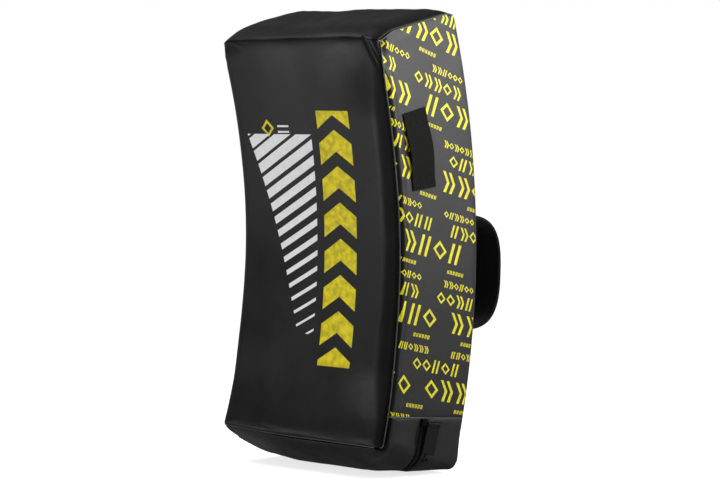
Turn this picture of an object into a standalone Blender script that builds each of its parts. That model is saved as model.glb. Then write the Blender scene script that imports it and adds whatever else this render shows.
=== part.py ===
"""Curved strike shield, modelled as its separate pieces.

The pad is laid out flat first. x runs across it, depth runs from the seam of the strike face at 0 to the
back, and s runs along its height. bend() then lays the flat pad on an arc, which hollows the strike face.
Metres, +Z up. The strike face looks along -Y, and the holder stands at +Y.
"""

import math

import bmesh
import bpy
import numpy as np
from mathutils import Matrix

# Pad
PAD_WIDTH = 0.388
PAD_DEPTH = 0.170
PAD_LENGTH = 0.720
FRONT_RADIUS = 1.207
MID_RADIUS = FRONT_RADIUS + PAD_DEPTH / 2

# Skins, seams and fits
SKIN = 0.0015
GAP = 0.0003
SEAM_GAP = 0.0006
FOAM_EASE = 0.0006
TUCK = 0.001
TUCK_WIDTH = 0.005
PIPING_RADIUS = 0.0013
PIPING_SEAT = 0.0006

# Strike panel
ROLL_WIDTH = 0.028
ROLL_END = 0.021
ROLL_DEPTH = 0.018
SEAM_CORNER = 0.012
UPPER_CORNER = 0.003

# Top panel
TOP_CROWN = 0.012
TOP_ROLL = 0.045
FRONT_BOW = 0.006
SIDE_BOW = 0.0085
SIDE_BOW_REACH = 0.036
SIDE_PANEL_COLUMNS = (0.016, SIDE_BOW_REACH, 0.100)
TOP_BEAD_TURNS = (0.120, 0.075, SIDE_BOW_REACH, 0.016)
BOW_WIDTH = 0.050

# Base band
BAND_FRONT_HEIGHT = 0.055
BAND_BACK_HEIGHT = 0.082
BELLY_EDGE = 0.023
BELLY_EDGE_BACK = 0.001
BELLY_CROWN = 0.0055
BELLY_CROWN_BACK = 0.00544
BELLY_CORNER = 0.038
BELLY_CORNER_BACK = 0.0125
BELLY_LAND = 0.50
BAND_CORNER_CELLS = 6
BAND_HUMP_CELLS = 5
CURL_RADIUS = 0.0095

# Foam
IMPACT_FOAM_BACK = 0.030
BACKING_FOAM_FRONT = 0.140
FOAM_CORNER = 0.042
IMPACT_CORNER = 0.020
FOAM_LIFT = 0.004
CORE_EASE = 0.006
CORE_EASE_HEIGHT = 0.100

# Zip
ZIP_DEPTH = PAD_DEPTH / 2
GROOVE_TOP = 0.0060
GROOVE_SIDE = 0.0105
GROOVE_BEND = 0.0070
GROOVE_BASE = 0.0040
TAPE_INSET = 0.0045
TAPE_THICKNESS = 0.0008
TAPE_UNDERLAP = 0.004
TAPE_FLAT = 0.0046
COIL_INSET = 0.0020
COIL_WIDTH = 0.0028
COIL_PITCH = 0.007
COIL_NOTCH = 0.0007
COIL_END = 0.0032
STOP_LENGTH = 0.0020
STOP_WIDTH = 0.0072

# Slider and pull
SLIDER_LENGTH = 0.010
SLIDER_WIDTH = 0.0090
SLIDER_PLATE = 0.0014
SLIDER_LIP = 0.0010
SLIDER_CLEARANCE = 0.0004
SLIDER_TOP_ROOM = 0.0005
SLIDER_TRAVEL = 0.038
BAIL_WIRE = 0.0007
BAIL_LENGTH = 0.005
BAIL_RISE = 0.002
PULL_WIRE = 0.0007
PULL_HEIGHT = 0.0027
PULL_DROP = 0.0044
PULL_FRONT = 0.0030
TAB_WIDTH = 0.028
TAB_LENGTH = 0.0495
TAB_THICKNESS = 0.0014
TAB_FRONT = 0.006
EYELET_RADIUS = 0.0058
EYELET_HOLE = 0.0028
EYELET_DROP = 0.0106
EYELET_SIDE = 0.0105

# Side handles
HANDLE_CENTRE_DEPTH = 0.050
HANDLE_CENTRE_S = 0.158
HANDLE_TURN = 0.055
HANDLE_WIDTH = 0.052
HANDLE_LENGTH = 0.135
HANDLE_LAND = 0.020
HANDLE_ARCH = 0.0105
WEBBING = 0.0022

# Arm straps
STRAP_X = 0.2964 * PAD_WIDTH
STRAP_WIDTH = 0.092
STRAP_CENTRE_S = -0.053
STRAP_SPAN = 0.177
STRAP_RISE = 0.092
STRAP_POWER = 3.0
STRAP_FOOT = 0.007
STRAP_TAIL = 0.028
STRAP_SEAT = 0.0005
STRAP_SHELL = 0.0012
STRAP_FOAM = 0.003
STRAP_LINING = 0.001
PATCH_LENGTH = 0.020
PATCH_THICKNESS = 0.0015

# Sizes worked out from those above
HALF_WIDTH = PAD_WIDTH / 2
HALF_LENGTH = PAD_LENGTH / 2
SEAM_X = HALF_WIDTH - TUCK
INNER_X = SEAM_X - SKIN - GAP
ROLL_STEPS = 4
ARC_CELLS = 16
STOP_START = 0.0005
BAND_SLOPE = math.atan((BAND_BACK_HEIGHT - BAND_FRONT_HEIGHT) / PAD_DEPTH)

parts = bpy.data.collections.new("curved_strike_shield")
cutters = bpy.data.collections.new("shield_cutters")


def rise(distance, width):
    """A quarter ellipse: 0 at the edge, where it stands upright, and 1 from width inwards."""
    q = np.clip(np.asarray(distance, float) / width, 0.0, 1.0)
    return np.sqrt(np.maximum(0.0, 1.0 - (1.0 - q) ** 2))


def bend(x, depth, s):
    """Carries points of the flat pad to their place on the arc."""
    x, depth, s = np.broadcast_arrays(*(np.asarray(v, float) for v in (x, depth, s)))
    angle = s / MID_RADIUS
    radius = FRONT_RADIUS + depth
    return np.stack([x, radius * np.cos(angle) - FRONT_RADIUS, radius * np.sin(angle)], axis=-1)


def roll_offsets(width, steps=ROLL_STEPS):
    """Distances from an edge that divide a quarter ellipse evenly."""
    return [width * (1 - math.cos(math.pi / 2 * i / steps)) for i in range(steps + 1)]


def across(half, offsets, cells):
    """Places from -half to half: the offsets in from both edges, and even cells between them."""
    left = [-half + d for d in offsets]
    inner = np.linspace(left[-1], -left[-1], cells + 1)[1:-1]
    return np.array([*left, *inner, *[-v for v in reversed(left)]])


def tucked_half_width(*distances):
    """Half of the pad's width, drawn in by the stitches near the seams at these distances."""
    nearest = np.minimum.reduce([np.asarray(d, float) for d in distances])
    return HALF_WIDTH - TUCK * (1 - rise(nearest, TUCK_WIDTH))


def round_corner(a, b, half_a, half_b, radius):
    """Turns the corner square that ends at (half_a, half_b) into a quarter disc. a and b may be signed."""
    u = (np.abs(a) - (half_a - radius)) / radius
    v = (np.abs(b) - (half_b - radius)) / radius
    inside = (u > 0) & (v > 0)
    new_u = u * np.sqrt(np.maximum(0.0, 1 - np.clip(v, 0, 1) ** 2 / 2))
    new_v = v * np.sqrt(np.maximum(0.0, 1 - np.clip(u, 0, 1) ** 2 / 2))
    new_a = np.sign(a) * (half_a - radius + radius * new_u)
    new_b = np.sign(b) * (half_b - radius + radius * new_v)
    return np.where(inside, new_a, a), np.where(inside, new_b, b)


def mitres(points):
    """For each point of an open line, the step to the line that runs beside it one metre to its left."""
    along = np.diff(points, axis=0)
    along /= np.linalg.norm(along, axis=1)[:, None]
    aside = np.stack([-along[:, 1], along[:, 0]], axis=1)
    middle = np.concatenate([aside[:1], aside]) + np.concatenate([aside, aside[-1:]])
    return middle * 2 / np.sum(middle * middle, axis=1)[:, None]


def finish(name, mesh, material, smooth=30.0):
    """Makes the named object of a mesh, with its material, in the collection of parts."""
    obj = bpy.data.objects.new(name, mesh)
    parts.objects.link(obj)
    mesh.materials.clear()
    mesh.materials.append(material)
    mesh.shade_smooth()
    mesh.set_sharp_from_angle(angle=math.radians(smooth))
    return obj


def grid(name, columns, rows, place):
    """An open grid mesh. place(column, row) gives each point, and columns by rows face outwards."""
    cage = bmesh.new()
    bmesh.ops.create_grid(cage, x_segments=len(columns) - 1, y_segments=len(rows) - 1, size=0.5)
    flat = np.array([v.co for v in cage.verts])
    share = (flat - flat.min(axis=0))[:, :2] / np.ptp(flat, axis=0)[:2]
    column = np.rint(share[:, 0] * (len(columns) - 1)).astype(int)
    row = np.rint(share[:, 1] * (len(rows) - 1)).astype(int)
    for vertex, point in zip(cage.verts, place(np.asarray(columns)[column], np.asarray(rows)[row])):
        vertex.co = point
    mesh = bpy.data.meshes.new(name)
    cage.to_mesh(mesh)
    cage.free()
    return mesh


def skin(name, columns, rows, place, wall, material):
    """A cut panel: the grid is its outer face, and its wall lies inside it."""
    obj = finish(name, grid(name, columns, rows, place), material)
    solid = obj.modifiers.new("Wall", "SOLIDIFY")
    solid.thickness = wall
    solid.offset = -1
    solid.use_even_offset = True
    return obj


def block(name, columns, rows, near, far, material):
    """A closed block between two grids, near and far, which face away from each other."""
    mesh = grid(name, columns, rows, near)
    cage = bmesh.new()
    cage.from_mesh(mesh)
    raised = bmesh.ops.extrude_face_region(cage, geom=list(cage.faces))
    moved = {v for v in raised["geom"] if isinstance(v, bmesh.types.BMVert)}
    bottom = [v for v in cage.verts if v not in moved]
    target = grid(name + "_far", columns, rows, far)
    count = len(target.vertices)
    places = [v.co.copy() for v in target.vertices]
    nearest = {tuple(round(c, 7) for c in v.co): v.index for v in mesh.vertices}
    for vertex in bottom:
        vertex.co = places[nearest[tuple(round(c, 7) for c in vertex.co)] % count]
    bmesh.ops.recalc_face_normals(cage, faces=cage.faces)
    cage.to_mesh(mesh)
    cage.free()
    bpy.data.meshes.remove(target)
    return finish(name, mesh, material)


def tube(name, points, radius, material, cyclic=False, sides=1):
    """A round bead or wire along a line of points."""
    curve = bpy.data.curves.new(name, "CURVE")
    curve.dimensions = "3D"
    curve.bevel_depth = radius
    curve.bevel_resolution = sides
    curve.use_fill_caps = not cyclic
    spline = curve.splines.new("POLY")
    spline.points.add(len(points) - 1)
    for slot, point in zip(spline.points, points):
        slot.co = (*point, 1.0)
    spline.use_cyclic_u = cyclic
    curve.materials.append(material)
    obj = bpy.data.objects.new(name, curve)
    parts.objects.link(obj)
    return obj


def loft(name, sections, material):
    """A closed solid through even sections of the same number of points, with flat ends."""
    sections = np.asarray(sections, float)
    count, around = sections.shape[:2]
    cage = bmesh.new()
    rings = [[cage.verts.new(p) for p in section] for section in sections]
    for lower, upper in zip(rings, rings[1:]):
        for k in range(around):
            m = (k + 1) % around
            cage.faces.new([lower[k], lower[m], upper[m], upper[k]])
    cage.faces.new(rings[0][::-1])
    cage.faces.new(rings[-1])
    bmesh.ops.recalc_face_normals(cage, faces=cage.faces)
    mesh = bpy.data.meshes.new(name)
    cage.to_mesh(mesh)
    cage.free()
    return finish(name, mesh, material)


def surface(name, colour, roughness, metallic=0.0):
    """A material: its colour as seen, its roughness, and whether it is a metal."""
    material = bpy.data.materials.new(name)
    material.use_nodes = True
    shader = material.node_tree.nodes["Principled BSDF"]
    linear = [((c + 0.055) / 1.055) ** 2.4 if c > 0.04045 else c / 12.92 for c in colour]
    shader.inputs["Base Color"].default_value = (*linear, 1.0)
    shader.inputs["Roughness"].default_value = roughness
    shader.inputs["Metallic"].default_value = metallic
    return material


# The cover's panels


def top_edge(x, depth):
    """The height of the seams round the top, which the filling bows upwards between the corners."""
    front = FRONT_BOW * rise(SEAM_X - np.abs(x), BOW_WIDTH)
    back_share = np.clip(np.asarray(depth, float) / PAD_DEPTH, 0, 1)
    reached = np.clip(np.asarray(depth, float) / SIDE_BOW_REACH, 0, 1)
    side = SIDE_BOW * (1 - back_share) * np.sin(math.pi / 2 * reached) ** 2
    return HALF_LENGTH + front * (1 - back_share) ** 2 + side * (np.abs(x) / SEAM_X) ** 4


def strike_place(x, s, inset=0.0):
    """The strike face: it rolls back to the seam at all four edges, and its lower corners are round."""
    half_x = SEAM_X - inset
    half_s = HALF_LENGTH - inset
    swell = rise(half_x - np.abs(x), ROLL_WIDTH - inset) * rise(half_s - np.abs(s), ROLL_END - inset)
    lower_x, lower_s = round_corner(x, s, half_x, half_s, SEAM_CORNER)
    upper_x, upper_s = round_corner(x, s, half_x, half_s, UPPER_CORNER)
    new_x = np.where(s < 0, lower_x, upper_x)
    new_s = np.where(s < 0, lower_s, upper_s)
    bow = top_edge(x, 0) - HALF_LENGTH
    new_s = new_s + bow * np.clip(s / HALF_LENGTH, 0, 1) ** 4
    depth = -SEAM_GAP - (ROLL_DEPTH - inset) * swell
    return new_x, depth, new_s


def make_strike_panel(material):
    columns = across(SEAM_X, roll_offsets(ROLL_WIDTH), 6)
    rows = across(HALF_LENGTH, roll_offsets(ROLL_END), ARC_CELLS - 2)
    return skin("strike_panel", columns, rows, lambda x, s: bend(*strike_place(x, s)), SKIN, material)


def band_top(depth):
    """The line where the base band meets the side panel. It is higher at the back."""
    share = np.asarray(depth, float) / PAD_DEPTH
    return -HALF_LENGTH + BAND_FRONT_HEIGHT + (BAND_BACK_HEIGHT - BAND_FRONT_HEIGHT) * share


def make_side_panel(name, side, material):
    """side is 1 for the right panel and -1 for the left one."""
    depths = np.array([SEAM_GAP / 2, TUCK_WIDTH / 3, TUCK_WIDTH, *SIDE_PANEL_COLUMNS, PAD_DEPTH - TUCK_WIDTH,
                       PAD_DEPTH - TUCK_WIDTH / 3, PAD_DEPTH])
    margin = TUCK_WIDTH / PAD_LENGTH
    shares = np.array([0, margin / 3, margin, *np.linspace(0, 1, ARC_CELLS - 1)[1:-1],
                       1 - margin, 1 - margin / 3, 1])

    def place(depth, share):
        low = band_top(depth) + SEAM_GAP / 2
        high = top_edge(SEAM_X, depth)
        s = low + share * (high - low)
        x = tucked_half_width(depth, PAD_DEPTH - depth, s - low, high - s)
        return bend(side * x, depth, s)

    return skin(name, depths[::side], shares, place, SKIN, material)


def make_top_panel(material):
    columns = across(INNER_X, roll_offsets(TOP_ROLL), 6)
    offsets = np.array(roll_offsets(TOP_ROLL))
    rows = np.array([*(SEAM_GAP / 2 + offsets), PAD_DEPTH / 2, *(PAD_DEPTH - offsets[::-1])])

    def place(x, depth):
        ends = np.minimum(depth - SEAM_GAP / 2, PAD_DEPTH - depth)
        dome = TOP_CROWN * rise(INNER_X - np.abs(x), TOP_ROLL) * rise(ends, TOP_ROLL)
        return bend(x, depth, top_edge(x, depth) + dome)

    return skin("top_panel", columns, rows, place, SKIN, material)


def curl(depth):
    """How far the underside has turned up at this depth, on its way round to the back."""
    past = np.clip(np.asarray(depth, float) - (PAD_DEPTH - CURL_RADIUS), 0, CURL_RADIUS)
    return CURL_RADIUS - np.sqrt(np.maximum(0.0, CURL_RADIUS**2 - past**2))


def belly(depth):
    """How far the belly hangs at its round corners at this depth, how much more in the middle, and their radius."""
    swell = rise(depth, ZIP_DEPTH)
    share = np.clip((np.asarray(depth, float) - ZIP_DEPTH) / (PAD_DEPTH - CURL_RADIUS - ZIP_DEPTH), 0, 1)
    edge = swell * (BELLY_EDGE + (BELLY_EDGE_BACK - BELLY_EDGE) * share)
    middle = swell * (BELLY_CROWN + (BELLY_CROWN_BACK - BELLY_CROWN) * share)
    corner = SEAM_CORNER + (BELLY_CORNER - SEAM_CORNER) * rise(depth, BELLY_CORNER)
    corner = corner + (BELLY_CORNER_BACK - BELLY_CORNER) * share
    return edge, middle * rise(PAD_DEPTH - depth, CURL_RADIUS), corner


def band_section(leg, share, depth):
    """A point of the base band's outline at a depth, on its right half.

    leg 0 is the side, from the band's seam down; leg 1 is the round corner; leg 2 is the underside, as far
    as the middle. share runs from 0 to 1 along each leg.
    """
    edge, middle, corner = belly(depth)
    base = -HALF_LENGTH - edge + curl(depth)
    start = band_top(depth) - SEAM_GAP / 2
    end = base + corner
    side_s = start + share * (end - start)
    half = tucked_half_width(depth, PAD_DEPTH - depth, np.where(leg == 0, start - side_s, PAD_WIDTH))
    turn = share * math.pi / 2
    hump = np.sin(math.pi / 2 * np.clip(share / BELLY_LAND, 0, 1)) ** 2
    x = np.choose(leg, [half, half - corner + corner * np.cos(turn), (half - corner) * (1 - share)])
    s = np.choose(leg, [side_s, end - corner * np.sin(turn), base - middle * hump])
    return x, s


def band_stations():
    """The stations along the right half of the band, as its leg and its share of that leg."""
    drop = TUCK_WIDTH / BAND_FRONT_HEIGHT
    side = [0, drop, 0.35, 0.7]
    corner = [i / BAND_CORNER_CELLS for i in range(BAND_CORNER_CELLS + 1)]
    under = [BELLY_LAND * (i + 1) / BAND_HUMP_CELLS for i in range(BAND_HUMP_CELLS)] + [1.0]
    legs = np.repeat([0, 1, 2], [len(side), len(corner), len(under)])
    return legs, np.array([*side, *corner, *under], float)


def groove_half(leg, share):
    """Half the width of the open groove over the zip: an almond on the side, and narrow underneath."""
    side = np.interp(share, [0, 0.35, 0.7, 1], [GROOVE_TOP, GROOVE_SIDE, GROOVE_SIDE, GROOVE_BEND])
    corner = GROOVE_BEND + (GROOVE_BASE - GROOVE_BEND) * share
    return np.choose(leg, [side, corner, 0 * share + GROOVE_BASE])


def make_base_band(name, front, material):
    """One half of the band: front runs from the strike face's seam to the zip, the other from it to the back."""
    legs, shares = band_stations()
    last = len(legs) - 1
    if front:
        fixed = [SEAM_GAP / 2, *roll_offsets(ZIP_DEPTH, 6)[1:-1]]
        depths = np.array([*fixed, ZIP_DEPTH])
        edge = len(depths) - 1
    else:
        turns = [math.pi / 2 * i / 4 for i in range(5)]
        depths = np.array([ZIP_DEPTH, *(PAD_DEPTH - CURL_RADIUS + CURL_RADIUS * math.sin(a) for a in turns)])
        edge = 0

    def place(column, row):
        half_column = np.minimum(column, 2 * last - column)
        side = np.where(column > last, -1, 1)
        leg = legs[half_column]
        share = shares[half_column]
        to_zip = groove_half(leg, share) * (-1 if front else 1)
        depth = depths[row] + np.where(row == edge, to_zip, 0)
        x, s = band_section(leg, share, depth)
        return bend(side * x, depth, s)

    return skin(name, np.arange(2 * last + 1), np.arange(len(depths)), place, SKIN, material)


def back_outline_base():
    """Where the back skin ends above the base band."""
    return -HALF_LENGTH - BELLY_EDGE_BACK + CURL_RADIUS + SKIN + GAP


def make_back_panel(material):
    low = back_outline_base()
    high = HALF_LENGTH - SKIN - GAP
    radius = BELLY_CORNER_BACK - SKIN
    steps = [radius * q for q in (0, 0.12, 0.35, 0.65, 1)]
    columns = across(INNER_X, steps, 3)[::-1]
    rows = np.array([*(low + d for d in steps), *np.linspace(low + radius, high, ARC_CELLS)[1:]])
    middle = (low + high) / 2

    def place(x, s):
        rounded_x, rounded_s = round_corner(x, s - middle, INNER_X, (high - low) / 2, radius)
        lower = s < middle
        return bend(np.where(lower, rounded_x, x), PAD_DEPTH, np.where(lower, rounded_s + middle, s))

    return skin("back_panel", columns, rows, place, SKIN, material)


# Piping


def arc_line(x, depth, start, end):
    """Points up or down one edge of the pad, close enough together to follow its arc."""
    cells = max(2, int(abs(end - start) / PAD_LENGTH * ARC_CELLS + 1))
    return [(x, depth, s) for s in np.linspace(start, end, cells + 1)]


def make_side_piping(name, side, material):
    """The bead from the back along the top, down the front seam and into the lower corner, where it ends."""
    stand = PIPING_SEAT + PIPING_RADIUS
    x = SEAM_X + stand
    turn = 3 * PIPING_RADIUS
    centre = -HALF_LENGTH + SEAM_CORNER
    end = PAD_DEPTH - 2 * PIPING_RADIUS
    route = [(x, d, float(top_edge(SEAM_X, d))) for d in (end, *TOP_BEAD_TURNS)]
    route += [(x, turn * 0.3, HALF_LENGTH + turn * 0.3)]
    route += arc_line(x, 0.0, HALF_LENGTH - turn, centre)
    for degrees in (15, 30, 45):
        a = math.radians(degrees)
        reach = SEAM_CORNER + stand
        route.append((SEAM_X - SEAM_CORNER + reach * math.cos(a), 0.0, centre - reach * math.sin(a)))
    points = bend(*np.array(route).T)
    points[:, 0] *= side
    return tube(name, points, PIPING_RADIUS, material)


def make_band_piping(name, side, material):
    """The bead along the seam between the side panel and the base band."""
    x = SEAM_X + PIPING_SEAT + PIPING_RADIUS
    depths = np.linspace(2 * PIPING_RADIUS + GAP, PAD_DEPTH - 2 * PIPING_RADIUS, 5)
    points = bend(np.full(5, x), depths, band_top(depths))
    points[:, 0] *= side
    return tube(name, points, PIPING_RADIUS, material)


def make_back_piping(material):
    """The bead round the back skin, over the slit between it and the other panels."""
    depth = PAD_DEPTH + PIPING_SEAT + PIPING_RADIUS
    half = INNER_X
    low = back_outline_base()
    high = HALF_LENGTH - SKIN - GAP
    radius = BELLY_CORNER_BACK - SKIN
    small = 3 * PIPING_RADIUS
    route = [(half - small, depth, high), (-half + small, depth, high)]
    route += [(-half + small * 0.3, depth, high - small * 0.3)]
    route += arc_line(-half, depth, high - small, low + radius)
    turns = [math.radians(18 * i) for i in range(1, 6)]
    route += [(-half + radius - radius * math.cos(a), depth, low + radius - radius * math.sin(a)) for a in turns]
    route += [(0.0, depth, low)]
    route += [(half - radius + radius * math.sin(a), depth, low + radius - radius * math.cos(a))
              for a in [0.0, *turns]]
    route += arc_line(half, depth, low + radius, high - small)[1:]
    route += [(half - small * 0.3, depth, high - small * 0.3)]
    return tube("back_piping", bend(*np.array(route).T), PIPING_RADIUS, material, cyclic=True)


# Foam filling


def foam_face(x, s, depth, corner, lift=0.0, ease=0.0):
    """A flat face of a foam layer at one depth, with its two lower corners rounded off."""
    half_x = SEAM_X - SKIN - FOAM_EASE
    half_s = HALF_LENGTH - SKIN - FOAM_EASE
    rounded_x, rounded_s = round_corner(x, s, half_x, half_s, corner)
    lower = s < 0
    new_x = np.where(lower, rounded_x, x)
    new_s = np.where(lower, rounded_s, s)
    low = np.clip((-half_s + CORE_EASE_HEIGHT - new_s) / CORE_EASE_HEIGHT * 3, 0, 1)
    new_x = new_x * (1 - ease / half_x * low)
    new_s = np.where(new_s < 0, new_s * (1 - lift / half_s), new_s)
    return bend(new_x, depth, new_s)


def make_impact_foam(material):
    inset = SKIN + FOAM_EASE
    columns = across(SEAM_X - inset, roll_offsets(ROLL_WIDTH - inset), 6)
    rows = across(HALF_LENGTH - inset, roll_offsets(ROLL_END - inset), ARC_CELLS - 2)

    def near(x, s):
        return bend(*strike_place(x, s, inset))

    def far(x, s):
        return foam_face(x, s, IMPACT_FOAM_BACK - GAP / 2, IMPACT_CORNER)

    return block("impact_foam", columns, rows, near, far, material)


def make_foam_layer(name, front, back, lift, ease, material):
    columns = across(SEAM_X - SKIN - FOAM_EASE, [0, 0.006, 0.018, FOAM_CORNER], 2)
    half_s = HALF_LENGTH - SKIN - FOAM_EASE
    rows = across(half_s, [0, 0.006, 0.018, FOAM_CORNER], ARC_CELLS - 2)

    def near(x, s):
        return foam_face(x, s, front, FOAM_CORNER, lift, ease)

    def far(x, s):
        return foam_face(x, s, back, FOAM_CORNER, lift, ease)

    return block(name, columns, rows, near, far, material)


# The zip


def band_line(depth):
    """The band's outline at a depth as points (x, s), right to left, and the mitres that point out of it."""
    legs, shares = band_stations()
    x, s = band_section(legs, shares, np.broadcast_to(depth, legs.shape))
    x[legs == 0] = HALF_WIDTH
    right = np.stack([x, s], axis=1)
    line = np.concatenate([right, (right * [-1, 1])[-2::-1]])
    return line, mitres(line)


def zip_run():
    """The length run along the zip's line at each of its points."""
    line, _ = band_line(ZIP_DEPTH)
    return np.concatenate([[0], np.cumsum(np.linalg.norm(np.diff(line, axis=0), axis=1))])


def zip_points(lengths, inset, depth):
    """Points at these lengths along the zip, sunk by inset below the band's outer face."""
    line, outward = band_line(ZIP_DEPTH)
    run = zip_run()
    sunk = [np.interp(lengths, run, line[:, k]) - np.interp(lengths, run, outward[:, k]) * inset for k in (0, 1)]
    return bend(sunk[0], depth, sunk[1])


def make_zip_tape(name, side, material):
    """side is -1 for the tape in front of the coils and 1 for the one behind them.

    The tape lies deep under the coils, and rises to the band's inner face, where it is sewn on.
    """
    legs, shares = band_stations()
    last = len(legs) - 1
    line, outward = band_line(ZIP_DEPTH)

    def place(k, row):
        half = np.minimum(k, 2 * last - k)
        opening = groove_half(legs[half], shares[half])
        flat = np.minimum(TAPE_FLAT, opening - GAP)
        offset = np.choose(row, [np.full(len(k), GAP / 2), flat, opening, opening + TAPE_UNDERLAP])
        depth = ZIP_DEPTH + side * offset
        band_x, band_s = band_section(legs[half], shares[half], depth)
        under_band = row > 1
        x = np.where(under_band, band_x * np.where(k > last, -1, 1), line[k, 0])
        s = np.where(under_band, band_s, line[k, 1])
        inset = np.where(under_band, SKIN + 2 * GAP, TAPE_INSET)
        return bend(x - outward[k, 0] * inset, depth, s - outward[k, 1] * inset)

    return skin(name, np.arange(2 * last + 1), np.arange(4)[::side], place, TAPE_THICKNESS, material)


def make_zip_coil(name, side, material):
    """A ribbed bar: its outer face steps in and out by the depth of a notch at every half pitch."""
    run = zip_run()
    count = int(round((run[-1] - 2 * COIL_END) / (COIL_PITCH / 2)))
    lengths = np.linspace(COIL_END, run[-1] - COIL_END, count + 1)
    notch = np.where(np.arange(count + 1) % 2 == 0, 0.0, COIL_NOTCH)
    near = ZIP_DEPTH + side * GAP / 2
    far = near + side * COIL_WIDTH
    low = TAPE_INSET - GAP
    top_near = zip_points(lengths, COIL_INSET + notch, near)
    top_far = zip_points(lengths, COIL_INSET + COIL_NOTCH - notch, far)
    base_far = zip_points(lengths, np.full(count + 1, low), far)
    base_near = zip_points(lengths, np.full(count + 1, low), near)
    return loft(name, np.stack([top_near, top_far, base_far, base_near], axis=1), material)


def box_mesh(name, size, centre, edge):
    """A block with its edges broken, as a mesh."""
    cage = bmesh.new()
    bmesh.ops.create_cube(cage, size=1.0)
    bmesh.ops.scale(cage, vec=size, verts=cage.verts)
    bmesh.ops.translate(cage, vec=centre, verts=cage.verts)
    bmesh.ops.bevel(cage, geom=list(cage.edges), offset=edge, segments=1, affect="EDGES")
    mesh = bpy.data.meshes.new(name)
    cage.to_mesh(mesh)
    cage.free()
    return mesh


def make_zip_stop(name, side, material):
    """A clamp over both coils' ends, under the band's seam."""
    middle = STOP_START + STOP_LENGTH / 2
    low = TAPE_INSET - GAP
    high = COIL_INSET
    start = float(band_top(ZIP_DEPTH)) - SEAM_GAP / 2
    size = (low - high, STOP_WIDTH, STOP_LENGTH)
    mesh = box_mesh(name, size, (0, 0, 0), 0.0004)
    obj = finish(name, mesh, material)
    s = start - middle
    place = bend(side * (HALF_WIDTH - (low + high) / 2), ZIP_DEPTH, s)
    obj.location = tuple(place)
    obj.rotation_euler = (s / MID_RADIUS, 0, 0)
    return obj


# Slider and pull. Their own axes: X outwards from the side panel, Y towards the back, Z up the zip


def carriage_s():
    """Where the slider's middle stands when the zip is shut, against its end stop."""
    start = float(band_top(ZIP_DEPTH)) - SEAM_GAP / 2
    return start - STOP_START - STOP_LENGTH - SLIDER_TOP_ROOM - SLIDER_LENGTH / 2


def outline_solid(name, loops, thickness):
    """A mesh from flat outlines in X and Y, the first outside and the rest holes, with a thickness in Z."""
    curve = bpy.data.curves.new(name, "CURVE")
    curve.dimensions = "2D"
    curve.fill_mode = "BOTH"
    curve.extrude = thickness / 2
    for loop in loops:
        spline = curve.splines.new("POLY")
        spline.points.add(len(loop) - 1)
        for slot, (x, y) in zip(spline.points, loop):
            slot.co = (x, y, 0.0, 1.0)
        spline.use_cyclic_u = True
    return curve_to_mesh(name, curve)


def curve_to_mesh(name, curve):
    """A closed mesh of a curve, its caps welded on."""
    holder = bpy.data.objects.new(name + "_guide", curve)
    bpy.context.scene.collection.objects.link(holder)
    bpy.context.view_layer.update()
    evaluated = holder.evaluated_get(bpy.context.evaluated_depsgraph_get())
    mesh = bpy.data.meshes.new_from_object(evaluated)
    bpy.data.objects.remove(holder)
    cage = bmesh.new()
    cage.from_mesh(mesh)
    bmesh.ops.remove_doubles(cage, verts=cage.verts, dist=1e-6)
    bmesh.ops.recalc_face_normals(cage, faces=cage.faces)
    cage.to_mesh(mesh)
    cage.free()
    return mesh


def wire_mesh(name, points, radius, cyclic=False):
    """A bent wire as a closed mesh."""
    curve = bpy.data.curves.new(name, "CURVE")
    curve.dimensions = "3D"
    curve.bevel_depth = radius
    curve.bevel_resolution = 2
    curve.use_fill_caps = not cyclic
    spline = curve.splines.new("POLY")
    spline.points.add(len(points) - 1)
    for slot, point in zip(spline.points, points):
        slot.co = (*point, 1.0)
    spline.use_cyclic_u = cyclic
    return curve_to_mesh(name, curve)


def ring_points(centre, radius, count=16):
    turns = [2 * math.pi * i / count for i in range(count)]
    return [(centre[0] + radius * math.cos(a), centre[1] + radius * math.sin(a)) for a in turns]


def add_boolean(obj, mesh, operation):
    """Joins a mesh to an object, or cuts it away, with a cutter that stays in its own collection."""
    cutter = bpy.data.objects.new(f"{obj.name}_{operation.lower()}_{len(obj.modifiers)}", mesh)
    cutters.objects.link(cutter)
    cutter.parent = obj
    cutter.hide_render = True
    cutter.display_type = "WIRE"
    change = obj.modifiers.new(operation.title(), "BOOLEAN")
    change.operation = operation
    change.solver = "EXACT"
    change.object = cutter
    return cutter


def make_carriage():
    """The empty that the slider rides on. Its Z is the straight line that follows the zip over its travel."""
    empty = bpy.data.objects.new("zip_carriage", None)
    parts.objects.link(empty)
    s = carriage_s()
    empty.location = tuple(bend(HALF_WIDTH, ZIP_DEPTH, s))
    empty.rotation_euler = ((s - SLIDER_TRAVEL / 2) / MID_RADIUS, 0, 0)
    return empty


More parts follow.
